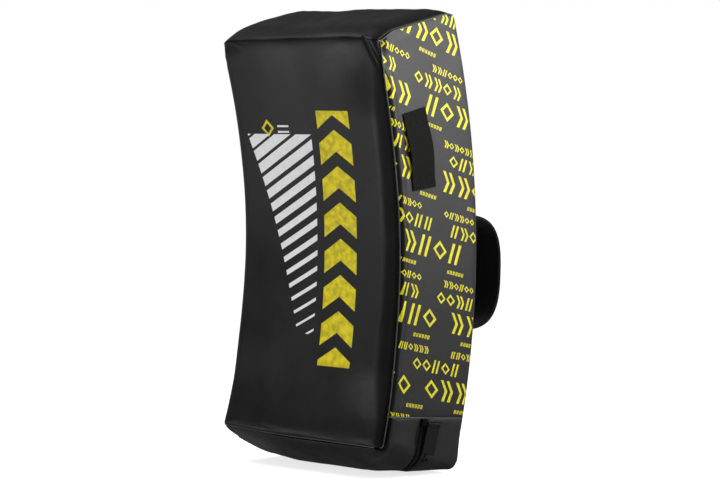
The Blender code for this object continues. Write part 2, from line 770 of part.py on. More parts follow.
def make_slider(carriage, material):
    """The slider's upper half: a plate with a lip down each side of the coils, and the bail for the pull."""
    low = -COIL_INSET + SLIDER_CLEARANCE
    high = low + SLIDER_PLATE
    half = SLIDER_WIDTH / 2
    lip = half - SLIDER_LIP
    foot = -TAPE_INSET + 2 * GAP
    outline = [(high, -half), (high, half), (foot, half), (foot, lip), (low, lip), (low, -lip), (foot, -lip),
               (foot, -half)]
    mesh = outline_solid("zip_slider", [outline], SLIDER_LENGTH)
    obj = finish("zip_slider", mesh, material)
    obj.parent = carriage
    arch = PULL_HEIGHT + PULL_WIRE + GAP + BAIL_WIRE
    foot_z = BAIL_LENGTH / 2
    top_z = foot_z - 0.0012
    bail = [(high - BAIL_WIRE, 0, -foot_z), (arch - 0.0012, 0, -foot_z), (arch, 0, -top_z), (arch, 0, top_z),
            (arch - 0.0012, 0, foot_z), (high - BAIL_WIRE, 0, foot_z)]
    bail = [(x, y, z + BAIL_RISE) for x, y, z in bail]
    add_boolean(obj, wire_mesh("slider_bail", bail, BAIL_WIRE), "UNION")
    return obj


def make_slider_base(carriage, material):
    """The slider's lower plate, under the tapes."""
    top = -TAPE_INSET - TAPE_THICKNESS - GAP
    size = (0.001, SLIDER_WIDTH, SLIDER_LENGTH)
    mesh = box_mesh("zip_slider_base", size, (top - 0.0005, 0, 0), 0.0002)
    obj = finish("zip_slider_base", mesh, material)
    obj.parent = carriage
    return obj


def make_pull_pivot(carriage):
    """The empty that the pull swings on: its Y is the wire under the bail, as level as the band's seam."""
    empty = bpy.data.objects.new("pull_pivot", None)
    parts.objects.link(empty)
    empty.parent = carriage
    empty.location = (PULL_HEIGHT, 0, BAIL_RISE)
    empty.rotation_euler = (BAND_SLOPE, 0, 0)
    return empty


def lean_along_zip(y, z):
    """Shifts a point of the pull so that its short sides run along the zip."""
    return y + z * math.tan(BAND_SLOPE), z


def make_pull_loop(pivot, material):
    """A long wire loop: its upper side passes under the bail, and the tab is hemmed over its lower side."""
    back = TAB_FRONT + TAB_WIDTH + 0.0025
    turn = 0.0015
    corners = [(-PULL_FRONT, 0.0), (back, 0.0), (back, -PULL_DROP), (-PULL_FRONT, -PULL_DROP)]
    signs = [(1, -1), (-1, -1), (-1, 1), (1, 1)]
    points = []
    for index, ((y, z), (sy, sz)) in enumerate(zip(corners, signs)):
        pair = [(0.0, *lean_along_zip(y, z + sz * turn)), (0.0, *lean_along_zip(y + sy * turn, z))]
        points += pair if index % 2 == 0 else pair[::-1]
    mesh = wire_mesh("pull_loop", points, PULL_WIRE, cyclic=True)
    obj = finish("pull_loop", mesh, material)
    obj.parent = pivot
    return obj


def make_pull_tab(pivot, material):
    """A flat tab hemmed over the loop, leaning in to the band, with a small eyelet at its lower end."""
    outer = PULL_WIRE + GAP + TAB_THICKNESS
    shift = lean_along_zip(0, -PULL_DROP)[0]
    middle_y = TAB_FRONT + TAB_WIDTH / 2 + shift
    hem = outline_solid("pull_tab", [ring_points((0, 0), outer, 12), ring_points((0, 0), PULL_WIRE + GAP, 12)],
                        TAB_WIDTH)
    hem.transform(Matrix.Translation((0, middle_y, -PULL_DROP)) @ Matrix.Rotation(math.pi / 2, 4, "X"))
    obj = finish("pull_tab", hem, material)
    obj.parent = pivot
    top = -PULL_WIRE - GAP - TAB_THICKNESS / 2
    lean = math.asin((PULL_HEIGHT - TAB_THICKNESS / 2 - 2 * GAP) / TAB_LENGTH)
    tilt = Matrix.Translation((0, shift, -PULL_DROP)) @ Matrix.Rotation(lean, 4, "Y")
    stand_up = Matrix(((0, 0, 1, 0), (1, 0, 0, 0), (0, 1, 0, 0), (0, 0, 0, 1)))
    left = TAB_FRONT
    right = TAB_FRONT + TAB_WIDTH
    sides = [(left, top), (left, -TAB_LENGTH), (right, -TAB_LENGTH), (right, top)]
    add_boolean(obj, flat_piece("tab_flat", [[lean_along_zip(*p) for p in sides]], TAB_THICKNESS, tilt @ stand_up),
                "UNION")
    ring = (TAB_FRONT + EYELET_SIDE, -TAB_LENGTH - EYELET_DROP)
    half = EYELET_RADIUS / 2
    neck = [(ring[0] - half, -TAB_LENGTH + half), (ring[0] - half, ring[1]), (ring[0] + half, ring[1]),
            (ring[0] + half, -TAB_LENGTH + half)]
    ring = lean_along_zip(*ring)
    thin = TAB_THICKNESS * 0.8
    place = tilt @ stand_up
    add_boolean(obj, flat_piece("tab_neck", [[lean_along_zip(*p) for p in neck]], thin, place), "UNION")
    disc = ring_points(ring, EYELET_RADIUS, 20)
    add_boolean(obj, flat_piece("tab_eyelet", [disc], thin * 1.1, place), "UNION")
    hole = ring_points(ring, EYELET_HOLE, 12)
    add_boolean(obj, flat_piece("tab_hole", [hole], TAB_THICKNESS * 3, place), "DIFFERENCE")
    return obj


def flat_piece(name, loops, thickness, place):
    """A thin flat solid of these outlines, carried to its place."""
    mesh = outline_solid(name, loops, thickness)
    mesh.transform(place)
    return mesh


# Handles and straps


def make_side_handle(name, side, material):
    """Flat webbing on a side panel: sewn down at both ends, and bowed out between them for the fingers."""
    start = HANDLE_CENTRE_S - HANDLE_LENGTH / 2
    bowed = HANDLE_LENGTH - 2 * HANDLE_LAND
    shares = np.linspace(0, 1, 9)
    rows = np.array([start, *(start + HANDLE_LAND + bowed * shares), start + HANDLE_LENGTH])
    depths = np.array([HANDLE_CENTRE_DEPTH - HANDLE_WIDTH / 2, HANDLE_CENTRE_DEPTH + HANDLE_WIDTH / 2])

    def place(depth, s):
        share = np.clip((s - start - HANDLE_LAND) / bowed, 0, 1)
        bow = HANDLE_ARCH * (0.5 - 0.5 * np.cos(2 * math.pi * share)) ** 0.6
        turned_depth = depth - HANDLE_TURN * (s - HANDLE_CENTRE_S)
        turned_s = s + HANDLE_TURN * (depth - HANDLE_CENTRE_DEPTH)
        return bend(side * (HALF_WIDTH + GAP + WEBBING + bow), turned_depth, turned_s)

    return skin(name, depths[::side], rows, place, WEBBING, material)


def strap_profile(inset):
    """The strap's line seen from the side, as (height over the back skin, s), sunk by inset.

    It runs up the pad: lower tail, foot, then the loop, which is a rounded arch, then foot and upper tail.
    """
    base = STRAP_SEAT + STRAP_LINING + STRAP_FOAM + STRAP_SHELL + 2 * GAP
    half = STRAP_SPAN / 2
    power = 2 / STRAP_POWER
    turns = np.radians([5, 12, 24, 38, 54, 72, 90])
    arch = [(STRAP_SEAT + STRAP_RISE * math.sin(a) ** power, half * max(0.0, math.cos(a)) ** power) for a in turns]
    leg = arch[0][1]
    outward = [(base, leg + STRAP_FOOT + STRAP_TAIL)]
    outward += [(base + STRAP_FOOT * (1 - math.cos(a)), leg + STRAP_FOOT * (1 - math.sin(a)))
                for a in (0.0, math.pi / 4, math.pi / 2)]
    outward += arch
    lower = [(h, -s) for h, s in outward]
    line = np.array(lower + outward[-2::-1])
    return line + mitres(line) * inset


def make_strap_layer(name, side, inset, wall, tails, material):
    """One layer of an arm strap. Layers with tails reach out over the back skin; the foam stops at the feet."""
    profile = strap_profile(inset)
    if not tails:
        profile = profile[2:-2]
    half = STRAP_WIDTH / 2
    columns = np.array([side * STRAP_X + half, side * STRAP_X - half])

    def place(x, row):
        height, s = profile[row].T
        return bend(x, PAD_DEPTH + height, STRAP_CENTRE_S + s)

    return skin(name, columns, np.arange(len(profile)), place, wall, material)


def make_strap_patch(name, side, end, material):
    """A reinforcement sewn over a strap's tail. end is 1 for the upper tail and -1 for the lower one."""
    base = STRAP_SEAT + STRAP_LINING + STRAP_FOAM + STRAP_SHELL + 3 * GAP
    reach = STRAP_SPAN / 2 + STRAP_FOOT + STRAP_TAIL
    middle = STRAP_CENTRE_S + end * (reach - PATCH_LENGTH / 2)
    half = STRAP_WIDTH / 2
    columns = np.array([side * STRAP_X + half, side * STRAP_X - half])
    rows = np.array([middle - PATCH_LENGTH / 2, middle + PATCH_LENGTH / 2])
    height = PAD_DEPTH + base + PATCH_THICKNESS
    return skin(name, columns, rows, lambda x, s: bend(x, height, s), PATCH_THICKNESS, material)


def stand_on_origin(root):
    """Moves the whole shield so that the origin is under its middle, at its lowest point."""
    bpy.context.view_layer.update()
    graph = bpy.context.evaluated_depsgraph_get()
    low = np.full(3, np.inf)
    high = np.full(3, -np.inf)
    for obj in parts.objects:
        if obj.type == "EMPTY":
            continue
        evaluated = obj.evaluated_get(graph)
        mesh = evaluated.to_mesh()
        points = np.array([evaluated.matrix_world @ v.co for v in mesh.vertices])
        evaluated.to_mesh_clear()
        low = np.minimum(low, points.min(axis=0))
        high = np.maximum(high, points.max(axis=0))
    root.location = (-(low[0] + high[0]) / 2, -(low[1] + high[1]) / 2, -low[2])


def build():
    for obj in list(bpy.data.objects):
        bpy.data.objects.remove(obj)
    bpy.context.scene.collection.children.link(parts)
    bpy.context.scene.collection.children.link(cutters)

    leather = surface("black_synthetic_leather", (0.14, 0.14, 0.14), 0.45)
    side_leather = surface("printed_synthetic_leather", (0.18, 0.18, 0.18), 0.42)
    band_leather = surface("band_synthetic_leather", (0.12, 0.12, 0.12), 0.45)
    bead = surface("piping_vinyl", (0.13, 0.13, 0.13), 0.35)
    soft_foam = surface("soft_foam", (0.85, 0.83, 0.70), 0.95)
    firm_foam = surface("firm_foam", (0.25, 0.25, 0.27), 0.9)
    webbing = surface("handle_webbing", (0.10, 0.10, 0.09), 0.85)
    strap_cover = surface("strap_synthetic_leather", (0.05, 0.05, 0.05), 0.5)
    strap_foam = surface("strap_foam", (0.2, 0.2, 0.2), 0.95)
    strap_cloth = surface("strap_lining", (0.03, 0.03, 0.03), 0.9)
    tape = surface("zip_tape", (0.05, 0.05, 0.05), 0.9)
    nylon = surface("zip_coil_nylon", (0.14, 0.14, 0.14), 0.4)
    metal = surface("black_zinc", (0.10, 0.10, 0.10), 0.35, 1.0)
    tab = surface("tab_synthetic_leather", (0.15, 0.15, 0.15), 0.45)

    root = bpy.data.objects.new("shield_frame", None)
    parts.objects.link(root)

    made = [make_strike_panel(leather), make_top_panel(leather), make_back_panel(leather)]
    made += [make_base_band("base_band_front", True, band_leather)]
    made += [make_base_band("base_band_rear", False, band_leather)]
    made += [make_back_piping(bead)]
    made += [make_impact_foam(soft_foam)]
    made += [make_foam_layer("core_foam", IMPACT_FOAM_BACK + GAP / 2, BACKING_FOAM_FRONT - GAP / 2, FOAM_LIFT,
                             CORE_EASE, soft_foam)]
    backing_lift = CURL_RADIUS + FOAM_LIFT
    made += [make_foam_layer("backing_foam", BACKING_FOAM_FRONT + GAP / 2, PAD_DEPTH - SKIN - FOAM_EASE,
                             backing_lift, 0.0, firm_foam)]
    made += [make_zip_tape("zip_tape_front", -1, tape), make_zip_tape("zip_tape_rear", 1, tape)]
    made += [make_zip_coil("zip_coil_front", -1, nylon), make_zip_coil("zip_coil_rear", 1, nylon)]

    for word, side in (("right", 1), ("left", -1)):
        made += [make_side_panel(f"side_panel_{word}", side, side_leather)]
        made += [make_side_piping(f"side_piping_{word}", side, bead)]
        made += [make_band_piping(f"band_piping_{word}", side, bead)]
        made += [make_zip_stop(f"zip_stop_{word}", side, metal)]
        made += [make_side_handle(f"side_handle_{word}", side, webbing)]
        lining_inset = STRAP_SHELL + STRAP_FOAM + 2 * GAP
        made += [make_strap_layer(f"strap_shell_{word}", side, 0.0, STRAP_SHELL, True, strap_cover)]
        made += [make_strap_layer(f"strap_foam_{word}", side, STRAP_SHELL + GAP, STRAP_FOAM, False, strap_foam)]
        made += [make_strap_layer(f"strap_lining_{word}", side, lining_inset, STRAP_LINING, True, strap_cloth)]
        made += [make_strap_patch(f"strap_patch_{word}_upper", side, 1, strap_cover)]
        made += [make_strap_patch(f"strap_patch_{word}_lower", side, -1, strap_cover)]

    carriage = make_carriage()
    made += [carriage]
    make_slider(carriage, metal)
    make_slider_base(carriage, metal)
    pivot = make_pull_pivot(carriage)
    make_pull_loop(pivot, metal)
    make_pull_tab(pivot, tab)

    for obj in made:
        obj.parent = root
    stand_on_origin(root)


build()
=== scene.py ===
"""The looks of a curved strike shield: its padded cover, its beads and seams, zip, webbing, straps and light.

Shapes are worked out on the flat pad first. x runs across it, depth from the seam of the strike face to the
back, and s along its height. laid() then carries them onto the pad's arc. Metres, +Z up.
"""

import math

import bmesh
import bpy
import numpy as np
from mathutils import Matrix


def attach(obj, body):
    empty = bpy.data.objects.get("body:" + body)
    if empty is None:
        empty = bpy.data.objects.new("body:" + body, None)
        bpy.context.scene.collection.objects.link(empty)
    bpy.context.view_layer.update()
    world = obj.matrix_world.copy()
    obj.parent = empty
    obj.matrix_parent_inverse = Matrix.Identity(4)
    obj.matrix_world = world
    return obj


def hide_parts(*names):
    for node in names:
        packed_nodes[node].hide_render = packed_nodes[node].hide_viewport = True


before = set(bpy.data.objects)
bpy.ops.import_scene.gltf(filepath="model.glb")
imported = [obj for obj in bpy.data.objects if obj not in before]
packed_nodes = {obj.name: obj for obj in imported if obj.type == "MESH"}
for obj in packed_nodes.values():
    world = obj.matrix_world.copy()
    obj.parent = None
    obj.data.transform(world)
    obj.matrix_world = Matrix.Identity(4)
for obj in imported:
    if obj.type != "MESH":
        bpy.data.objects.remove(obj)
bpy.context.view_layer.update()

# The pad, as packed
MIDDLE = np.array([0.0, -0.10005, 0.38274])
HALF_WIDTH = 0.194
HALF_LENGTH = 0.360
PAD_DEPTH = 0.170
FRONT_RADIUS = 1.207
MID_RADIUS = FRONT_RADIUS + PAD_DEPTH / 2
WALL = 0.0014
SEAM_X = HALF_WIDTH - 0.001
SIDES = (("right", 1), ("left", -1))

# Camera, solved from the outline of the shield in the photograph
CAMERA_AZIMUTH = 0.83213
CAMERA_ELEVATION = 0.05602
CAMERA_ROLL = -0.00379
CAMERA_DISTANCE = 5.24645
CAMERA_ASIDE = 0.06277
CAMERA_RAISED = 0.00036
CAMERA_LENS = 156.25


# Small tools


def rise(distance, width, power=2.0):
    """A quarter superellipse: 0 at the edge, 1 from width inwards, and round for a power of 2.

    A lower power flattens it towards a chamfer.
    """
    q = np.clip(np.asarray(distance, float) / width, 0.0, 1.0)
    return np.maximum(0.0, 1.0 - (1.0 - q) ** power) ** (1 / power)


def ease(t):
    """A smooth step from 0 to 1: 3 t squared less 2 t cubed."""
    t = np.clip(t, 0.0, 1.0)
    return t * t * (3 - 2 * t)


def bell(distance, width):
    """1 on a line, falling off on both sides: e to the power of minus (distance over width) squared."""
    return np.exp(-((np.asarray(distance, float) / width) ** 2))


def laid(x, depth, s):
    """Carries flat points onto the arc: the angle is s over the middle radius, and depth adds to it."""
    x, depth, s = np.broadcast_arrays(*(np.asarray(v, float) for v in (x, depth, s)))
    angle = s / MID_RADIUS
    radius = FRONT_RADIUS + depth
    return MIDDLE + np.stack([x, radius * np.cos(angle) - FRONT_RADIUS, radius * np.sin(angle)], axis=-1)


def waver(t, seed, waves=5, longest=1.0):
    """A slow random line: a sum of sines with ever shorter waves, from -1 to 1 or so."""
    chance = np.random.default_rng(seed)
    total = np.zeros_like(np.asarray(t, float))
    for k in range(waves):
        phase = chance.uniform(0, 2 * math.pi)
        stretch = chance.uniform(0.8, 1.3)
        total = total + np.sin(2 * math.pi * (k + 1) * stretch * t / longest + phase) / (k + 1) ** 0.7
    return total / 2.0


def edge_spaced(half, roll, steps, inner):
    """Places from -half to half: cosine steps over the roll at both ends, and even ones between."""
    turn = np.linspace(0, math.pi / 2, steps + 1)
    start = -half + roll * (1 - np.cos(turn))
    return np.concatenate([start, np.linspace(-half + roll, half - roll, inner + 1)[1:-1], -start[::-1]])


def grid_quads(rows, columns, ring=False):
    """The quads of a grid of points, counted row by row. ring joins its last column to its first."""
    index = np.arange(rows * columns).reshape(rows, columns)
    if ring:
        index = np.concatenate([index, index[:, :1]], axis=1)
    return np.stack([index[:-1, :-1], index[:-1, 1:], index[1:, 1:], index[1:, :-1]], axis=-1).reshape(-1, 4)


def quad_piece(name, points, quads, flat=None):
    """A piece with these points and quads. flat is its chart for patterns: two numbers for each point."""
    mesh = bpy.data.meshes.new(name)
    mesh.from_pydata(points.reshape(-1, 3).tolist(), [], quads.tolist())
    if flat is not None:
        chart = mesh.uv_layers.new(name="flat")
        chart.data.foreach_set("uv", flat.reshape(-1, 2)[quads.ravel()].ravel())
    obj = bpy.data.objects.new(name, mesh)
    bpy.context.scene.collection.objects.link(obj)
    mesh.shade_smooth()
    return obj


def surface_piece(name, points, flat=None, ring=False, flip=False, seam=None):
    """A piece of quads through a grid of points, rows by columns.

    seam is each point's distance to the nearest seam, for the shade there.
    """
    quads = grid_quads(*points.shape[:2], ring=ring)
    obj = quad_piece(name, points, quads[:, ::-1] if flip else quads, flat)
    if seam is not None:
        shade = obj.data.attributes.new("seam", "FLOAT", "POINT")
        shade.data.foreach_set("value", np.ravel(seam).astype(np.float32))
    return obj


def along_grid(x, s):
    """The length run along each row of a grid, from its first column."""
    return np.cumsum(np.hypot(np.gradient(x, axis=1), np.gradient(s, axis=1)), axis=1)


def length_along(path):
    """The length run from the start of a path to each of its points."""
    return np.concatenate([[0], np.cumsum(np.linalg.norm(np.diff(path, axis=0), axis=1))])


def swept(path, aside, outline):
    """Carries an outline along a path: path + aside times its first number + across times its second.

    aside is a vector for each path point, and across is square to it and to the path.
    """
    along = np.gradient(path, axis=0)
    along /= np.linalg.norm(along, axis=1)[:, None]
    aside = aside - along * np.sum(aside * along, axis=1)[:, None]
    aside /= np.linalg.norm(aside, axis=1)[:, None]
    across = np.cross(along, aside)
    outline = np.broadcast_to(outline, (len(path), *np.shape(outline)[-2:]))
    return path[:, None] + aside[:, None] * outline[..., :1] + across[:, None] * outline[..., 1:]


def closed(obj):
    """Welds doubled points at poles and ends, and fills flat ends, so that the piece is one closed body."""
    cage = bmesh.new()
    cage.from_mesh(obj.data)
    bmesh.ops.remove_doubles(cage, verts=cage.verts, dist=1e-6)
    edges = [e for e in cage.edges if e.is_boundary]
    if edges:
        bmesh.ops.holes_fill(cage, edges=edges, sides=0)
    bmesh.ops.recalc_face_normals(cage, faces=cage.faces)
    cage.to_mesh(obj.data)
    cage.free()
    return obj


def wall(obj, thickness=WALL):
    """Gives a sheet its thickness, inwards."""
    solid = obj.modifiers.new("Wall", "SOLIDIFY")
    solid.thickness = thickness
    solid.offset = -1
    solid.use_even_offset = True
    return obj


def disc(radius, sides):
    """The corners of a regular outline with this radius and number of sides."""
    turn = np.arange(sides) * 2 * math.pi / sides
    return radius * np.stack([np.cos(turn), np.sin(turn)], axis=1)


def oval(half_a, half_b, sides, power_a, power_b):
    """A superellipse: each half size times the cosine or sine, to its power. A low power squares it off."""
    c, s = disc(1.0, sides).T
    a = half_a * np.sign(c) * np.abs(c) ** power_a
    b = half_b * np.sign(s) * np.abs(s) ** power_b
    return np.stack([a, b], axis=1)


def bead(name, path, aside, radius, sides=12):
    """A round bead along a path, with domed ends: its radius falls to nothing over its own length there."""
    path = np.asarray(path, float)
    run = length_along(path)
    caps = radius * (1 - np.cos(np.linspace(0, math.pi / 2, 4)))
    places = np.concatenate([caps, run[(run > radius) & (run < run[-1] - radius)], run[-1] - caps[::-1]])
    path_at = np.stack([np.interp(places, run, path[:, k]) for k in range(3)], axis=1)
    aside_at = np.stack([np.interp(places, run, aside[:, k]) for k in range(3)], axis=1)
    shrink = rise(np.minimum(places, run[-1] - places), radius)
    outline = disc(radius, sides)[None] * shrink[:, None, None]
    return closed(surface_piece(name, swept(path_at, aside_at, outline), ring=True))


def settle(obj, pinned, slack, push, frames=20, stiffness=12.0, bending=0.6):
    """Runs the panel as cloth, pinned along its seams, and returns where its points end up.

    slack is the share of spare length at each point. The seams gather it, and the spare cloth puckers.
    """
    pins = obj.vertex_groups.new(name="seams")
    loose = obj.vertex_groups.new(name="spare_cloth")
    for level in np.linspace(0.1, 1.0, 10):
        picked = np.flatnonzero(np.abs(pinned - level) < 0.05)
        pins.add(picked.tolist(), float(level), "REPLACE")
        picked = np.flatnonzero(np.abs(slack / max(slack.max(), 1e-9) - level) < 0.05)
        loose.add(picked.tolist(), float(level), "REPLACE")
    cloth = obj.modifiers.new("Cloth", "CLOTH")
    cloth.settings.quality = 6
    cloth.settings.mass = 0.35
    cloth.settings.tension_stiffness = stiffness
    cloth.settings.compression_stiffness = stiffness
    cloth.settings.shear_stiffness = stiffness / 2
    cloth.settings.bending_stiffness = bending
    cloth.settings.use_pressure = True
    cloth.settings.uniform_pressure_force = push
    cloth.settings.vertex_group_mass = "seams"
    cloth.settings.pin_stiffness = 5
    cloth.settings.shrink_min = 0.0
    cloth.settings.shrink_max = -float(slack.max())
    cloth.settings.vertex_group_shrink = "spare_cloth"
    cloth.settings.effector_weights.gravity = 0
    cloth.point_cache.frame_end = frames
    for step in range(1, frames + 1):
        bpy.context.scene.frame_set(step)
    evaluated = obj.evaluated_get(bpy.context.evaluated_depsgraph_get())
    points = np.empty(len(obj.data.vertices) * 3)
    evaluated.data.vertices.foreach_get("co", points)
    obj.modifiers.remove(cloth)
    obj.vertex_groups.clear()
    bpy.context.scene.frame_set(1)
    return points.reshape(-1, 3)


# The shares of the settled shape that are kept over the foam, and on top of that at the seams
KEPT_ON_FOAM = 0.12
KEPT_AT_SEAMS = 0.88


def puckered(obj, edge_distance, push, spare, reach, cap, frames=20):
    """Lets the cloth settle, and keeps all of its new shape at the seams and little of it over the foam.

    spare is the spare length at the seams. It fades over reach, as the kept share does: both follow e to the
    power of minus distance over reach. A move is capped by a hyperbolic tangent, so that none passes cap.
    """
    points = np.empty(len(obj.data.vertices) * 3)
    obj.data.vertices.foreach_get("co", points)
    points = points.reshape(-1, 3)
    near = np.exp(-edge_distance.ravel() / reach)
    pinned = (edge_distance.ravel() < 1e-5).astype(float)
    moved = settle(obj, pinned, spare * near, push, frames) - points
    size = np.linalg.norm(moved, axis=1)
    held = cap * np.tanh(size / cap) / np.maximum(size, 1e-9)
    points = points + moved * (held * (KEPT_ON_FOAM + KEPT_AT_SEAMS * near))[:, None]
    obj.data.vertices.foreach_set("co", points.ravel())
    obj.data.update()
    return obj


# Materials


def hue(code, alpha=1.0):
    """The linear colour of an sRGB hex value."""
    parts = [int(code[k:k + 2], 16) / 255 for k in (0, 2, 4)]
    return (*[((c + 0.055) / 1.055) ** 2.4 if c > 0.04045 else c / 12.92 for c in parts], alpha)


# Nearly all of a noise pattern lies between these two values
SPREAD = (0.3, 0.7)


def add(tree, kind, *sources, output=0, **settings):
    """Adds a node. kind is its type and, after a space, its operation. sources fill its inputs in order.

    A source is a socket to link, a number or colour, or None to leave that input as it is. A setting whose
    name starts with in_ sets or links the input of that name.
    """
    word, *operation = kind.split()
    node = tree.nodes.new("ShaderNode" + word)
    if operation:
        node.operation = operation[0]
    named = {key[3:].replace("_", " "): value for key, value in settings.items() if key.startswith("in_")}
    for key, value in settings.items():
        if not key.startswith("in_"):
            setattr(node, key, value)
    targets = [(node.inputs[k], source) for k, source in enumerate(sources)]
    targets += [(node.inputs[key], value) for key, value in named.items()]
    for target, source in targets:
        if isinstance(source, bpy.types.NodeSocket):
            tree.links.new(source, target)
        elif source is not None:
            target.default_value = source
    return node.outputs[output]


def new_material(name, roughness, metallic=0.0, specular=0.5, **sockets):
    """A material with one Principled shader. Other sockets are given by name, with underscores for blanks."""
    made = bpy.data.materials.new(name)
    made.use_nodes = True
    shader = made.node_tree.nodes["Principled BSDF"]
    shader.inputs["Roughness"].default_value = roughness
    shader.inputs["Metallic"].default_value = metallic
    shader.inputs["Specular IOR Level"].default_value = specular
    for key, value in sockets.items():
        shader.inputs[key.replace("_", " ")].default_value = value
    return made, made.node_tree, shader


def tint(tree, shader, colour, tone, **others):
    """Links colour times tone to the shader, and the other sockets that are given by name."""
    shade = add(tree, "VectorMath SCALE", hue(colour)[:3], in_Scale=tone)
    for key, source in {"Base_Color": shade, **others}.items():
        tree.links.new(source, shader.inputs[key.replace("_", " ")])
    return shade


def leather(name, colour, roughness=0.40, grain=0.0026, relief=0.0001, specular=0.42, painted_seam_shade=None):
    """Polyurethane leather, embossed with a fine grain: it gives a satin black with soft, broken gloss.

    The real grain is about 0.8 mm, too fine to show here, so its cells are drawn three times as wide.
    A panel dips so steeply into its seams that it loses its shine and most of its light there. That shade is
    painted into the colour and the shine: the last argument gives the distances from the seam between which
    the painted shade fades out, and the share of colour and shine that is left at the seam.
    """
    made, tree, shader = new_material(name, roughness, specular=specular)
    place = add(tree, "TexCoord", output=3)
    cells = add(tree, "TexVoronoi", place, feature="DISTANCE_TO_EDGE", in_Scale=1 / grain)
    furrow = add(tree, "MapRange", cells, 0.0, 0.16, 0.0, 1.0)
    cloudy = add(tree, "TexNoise", place, in_Scale=1 / 0.055, in_Detail=5.0, in_Roughness=0.62)
    fine = add(tree, "TexNoise", place, in_Scale=1 / 0.0035, in_Detail=3.0)
    tone = add(tree, "MapRange", cloudy, *SPREAD, 0.82, 1.2)
    fleck = add(tree, "MapRange", fine, *SPREAD, 0.86, 1.14)
    both = add(tree, "Math MULTIPLY", tone, fleck)
    # Painted shade: the colour and the shine darken towards the seams.
    if painted_seam_shade:
        start, end, left = painted_seam_shade
        seam = add(tree, "Attribute", attribute_name="seam", output=2)
        open_to_light = add(tree, "MapRange", seam, start, end, left, 1.0)
        both = add(tree, "Math MULTIPLY", both, open_to_light)
        shine = add(tree, "Math MULTIPLY", open_to_light, specular)
        tree.links.new(shine, shader.inputs["Specular IOR Level"])
    gloss = add(tree, "MapRange", cloudy, *SPREAD, roughness - 0.06, roughness + 0.08)
    height = add(tree, "Math MULTIPLY_ADD", fine, 0.5, furrow)
    bump = add(tree, "Bump", in_Strength=0.5, in_Distance=relief, in_Height=height)
    return made, tree, shader, tint(tree, shader, colour, both, Roughness=gloss, Normal=bump)


def flat_chart(tree):
    """The two coordinates of the piece's flat chart, in metres."""
    first = add(tree, "SeparateXYZ", add(tree, "UVMap", uv_map="flat"))
    return first, first.node.outputs[1]


PRINT_REPEAT = 0.116
SMALLEST_MOTIF = 0.010


def print_mask(tree, rows):
    """An all-over print of rows, from 0 to 1, on the flat chart.

    Each row kind is (height, cluster length, gap, place in the repeat, half stroke, seed). A row is a band;
    in it, clusters of that length are shifted by a random number for the row, and each cluster is cut into
    cells as wide as the row is high. By chance a cell holds two chevrons, leaning bars or a hollow diamond.
    The smallest rows are only bars.
    """
    depth, height = flat_chart(tree)
    total = None
    for size, length, gap, place, stroke, seed in rows:
        shifted = add(tree, "Math SUBTRACT", height, place)
        row = add(tree, "Math DIVIDE", shifted, PRINT_REPEAT)
        number = add(tree, "Math FLOOR", row)
        part = add(tree, "Math FRACT", row)
        across = add(tree, "Math MULTIPLY_ADD", part, PRINT_REPEAT / size, -0.5)
        in_row = add(tree, "Math LESS_THAN", add(tree, "Math ABSOLUTE", across), 0.5)
        chance = add(tree, "TexWhiteNoise", None, add(tree, "Math ADD", number, seed), noise_dimensions="1D")
        moved = add(tree, "Math MULTIPLY_ADD", chance, length + gap, depth)
        cluster = add(tree, "Math MODULO", add(tree, "Math ADD", moved, 4 * (length + gap)), length + gap)
        in_cluster = add(tree, "Math LESS_THAN", cluster, length)
        cell = add(tree, "Math DIVIDE", cluster, size * 0.98)
        here = add(tree, "Math FRACT", cell)
        key = add(tree, "Math MULTIPLY_ADD", number, 7.31, add(tree, "Math FLOOR", cell))
        pick = add(tree, "TexWhiteNoise", None, add(tree, "Math ADD", key, seed), noise_dimensions="1D")
        off_middle = add(tree, "Math ABSOLUTE", across)
        arrow = add(tree, "Math MULTIPLY_ADD", off_middle, 0.5, here)
        chevrons = add(tree, "Math MAXIMUM", add(tree, "Math COMPARE", arrow, 0.45, stroke),
                       add(tree, "Math COMPARE", arrow, 0.83, stroke))
        leaning = add(tree, "Math MULTIPLY_ADD", across, -0.35, here)
        bars = add(tree, "Math MAXIMUM", add(tree, "Math COMPARE", leaning, 0.26, stroke),
                   add(tree, "Math COMPARE", leaning, 0.66, stroke))
        off_centre = add(tree, "Math ABSOLUTE", add(tree, "Math SUBTRACT", here, 0.48))
        ring = add(tree, "Math COMPARE", add(tree, "Math ADD", off_middle, off_centre), 0.36, stroke)
        shape = add(tree, "Mix", add(tree, "Math GREATER_THAN", pick, 0.36), None, chevrons, bars)
        shape = add(tree, "Mix", add(tree, "Math GREATER_THAN", pick, 0.66), None, shape, ring)
        shape = bars if size < SMALLEST_MOTIF else shape
        inked = add(tree, "Math MULTIPLY", add(tree, "Math MULTIPLY", in_row, in_cluster), shape)
        total = inked if total is None else add(tree, "Math MAXIMUM", total, inked)
    return total


def ink(tree, shader, base, mask, colour, worn):
    """Screen-printed ink over the leather: full in colour, and down to this share where it has worn thin."""
    place = add(tree, "TexCoord", output=3)
    patchy = add(tree, "TexNoise", place, in_Scale=1 / 0.012, in_Detail=4.0)
    patchy = add(tree, "MapRange", patchy, 0.35, 0.62, worn, 1.0)
    printed = add(tree, "VectorMath SCALE", hue(colour)[:3], in_Scale=patchy)
    both = add(tree, "Mix", mask, None, None, None, None, None, base, printed, data_type="RGBA", output=2)
    tree.links.new(both, shader.inputs["Base Color"])
    return both


# The face print: the chevrons' column with its middle, half width and half height, their slope, step and
# inked share, and the slope and step of the rungs
COLUMN_X = 0.0660
COLUMN_HALF = 0.040
COLUMN_REACH = 0.231
CHEVRON_SLOPE = 0.62
CHEVRON_STEP = 0.0655
CHEVRON_SHARE = 0.60
RUNG_SLOPE = 0.55
RUNG_STEP = 0.0275


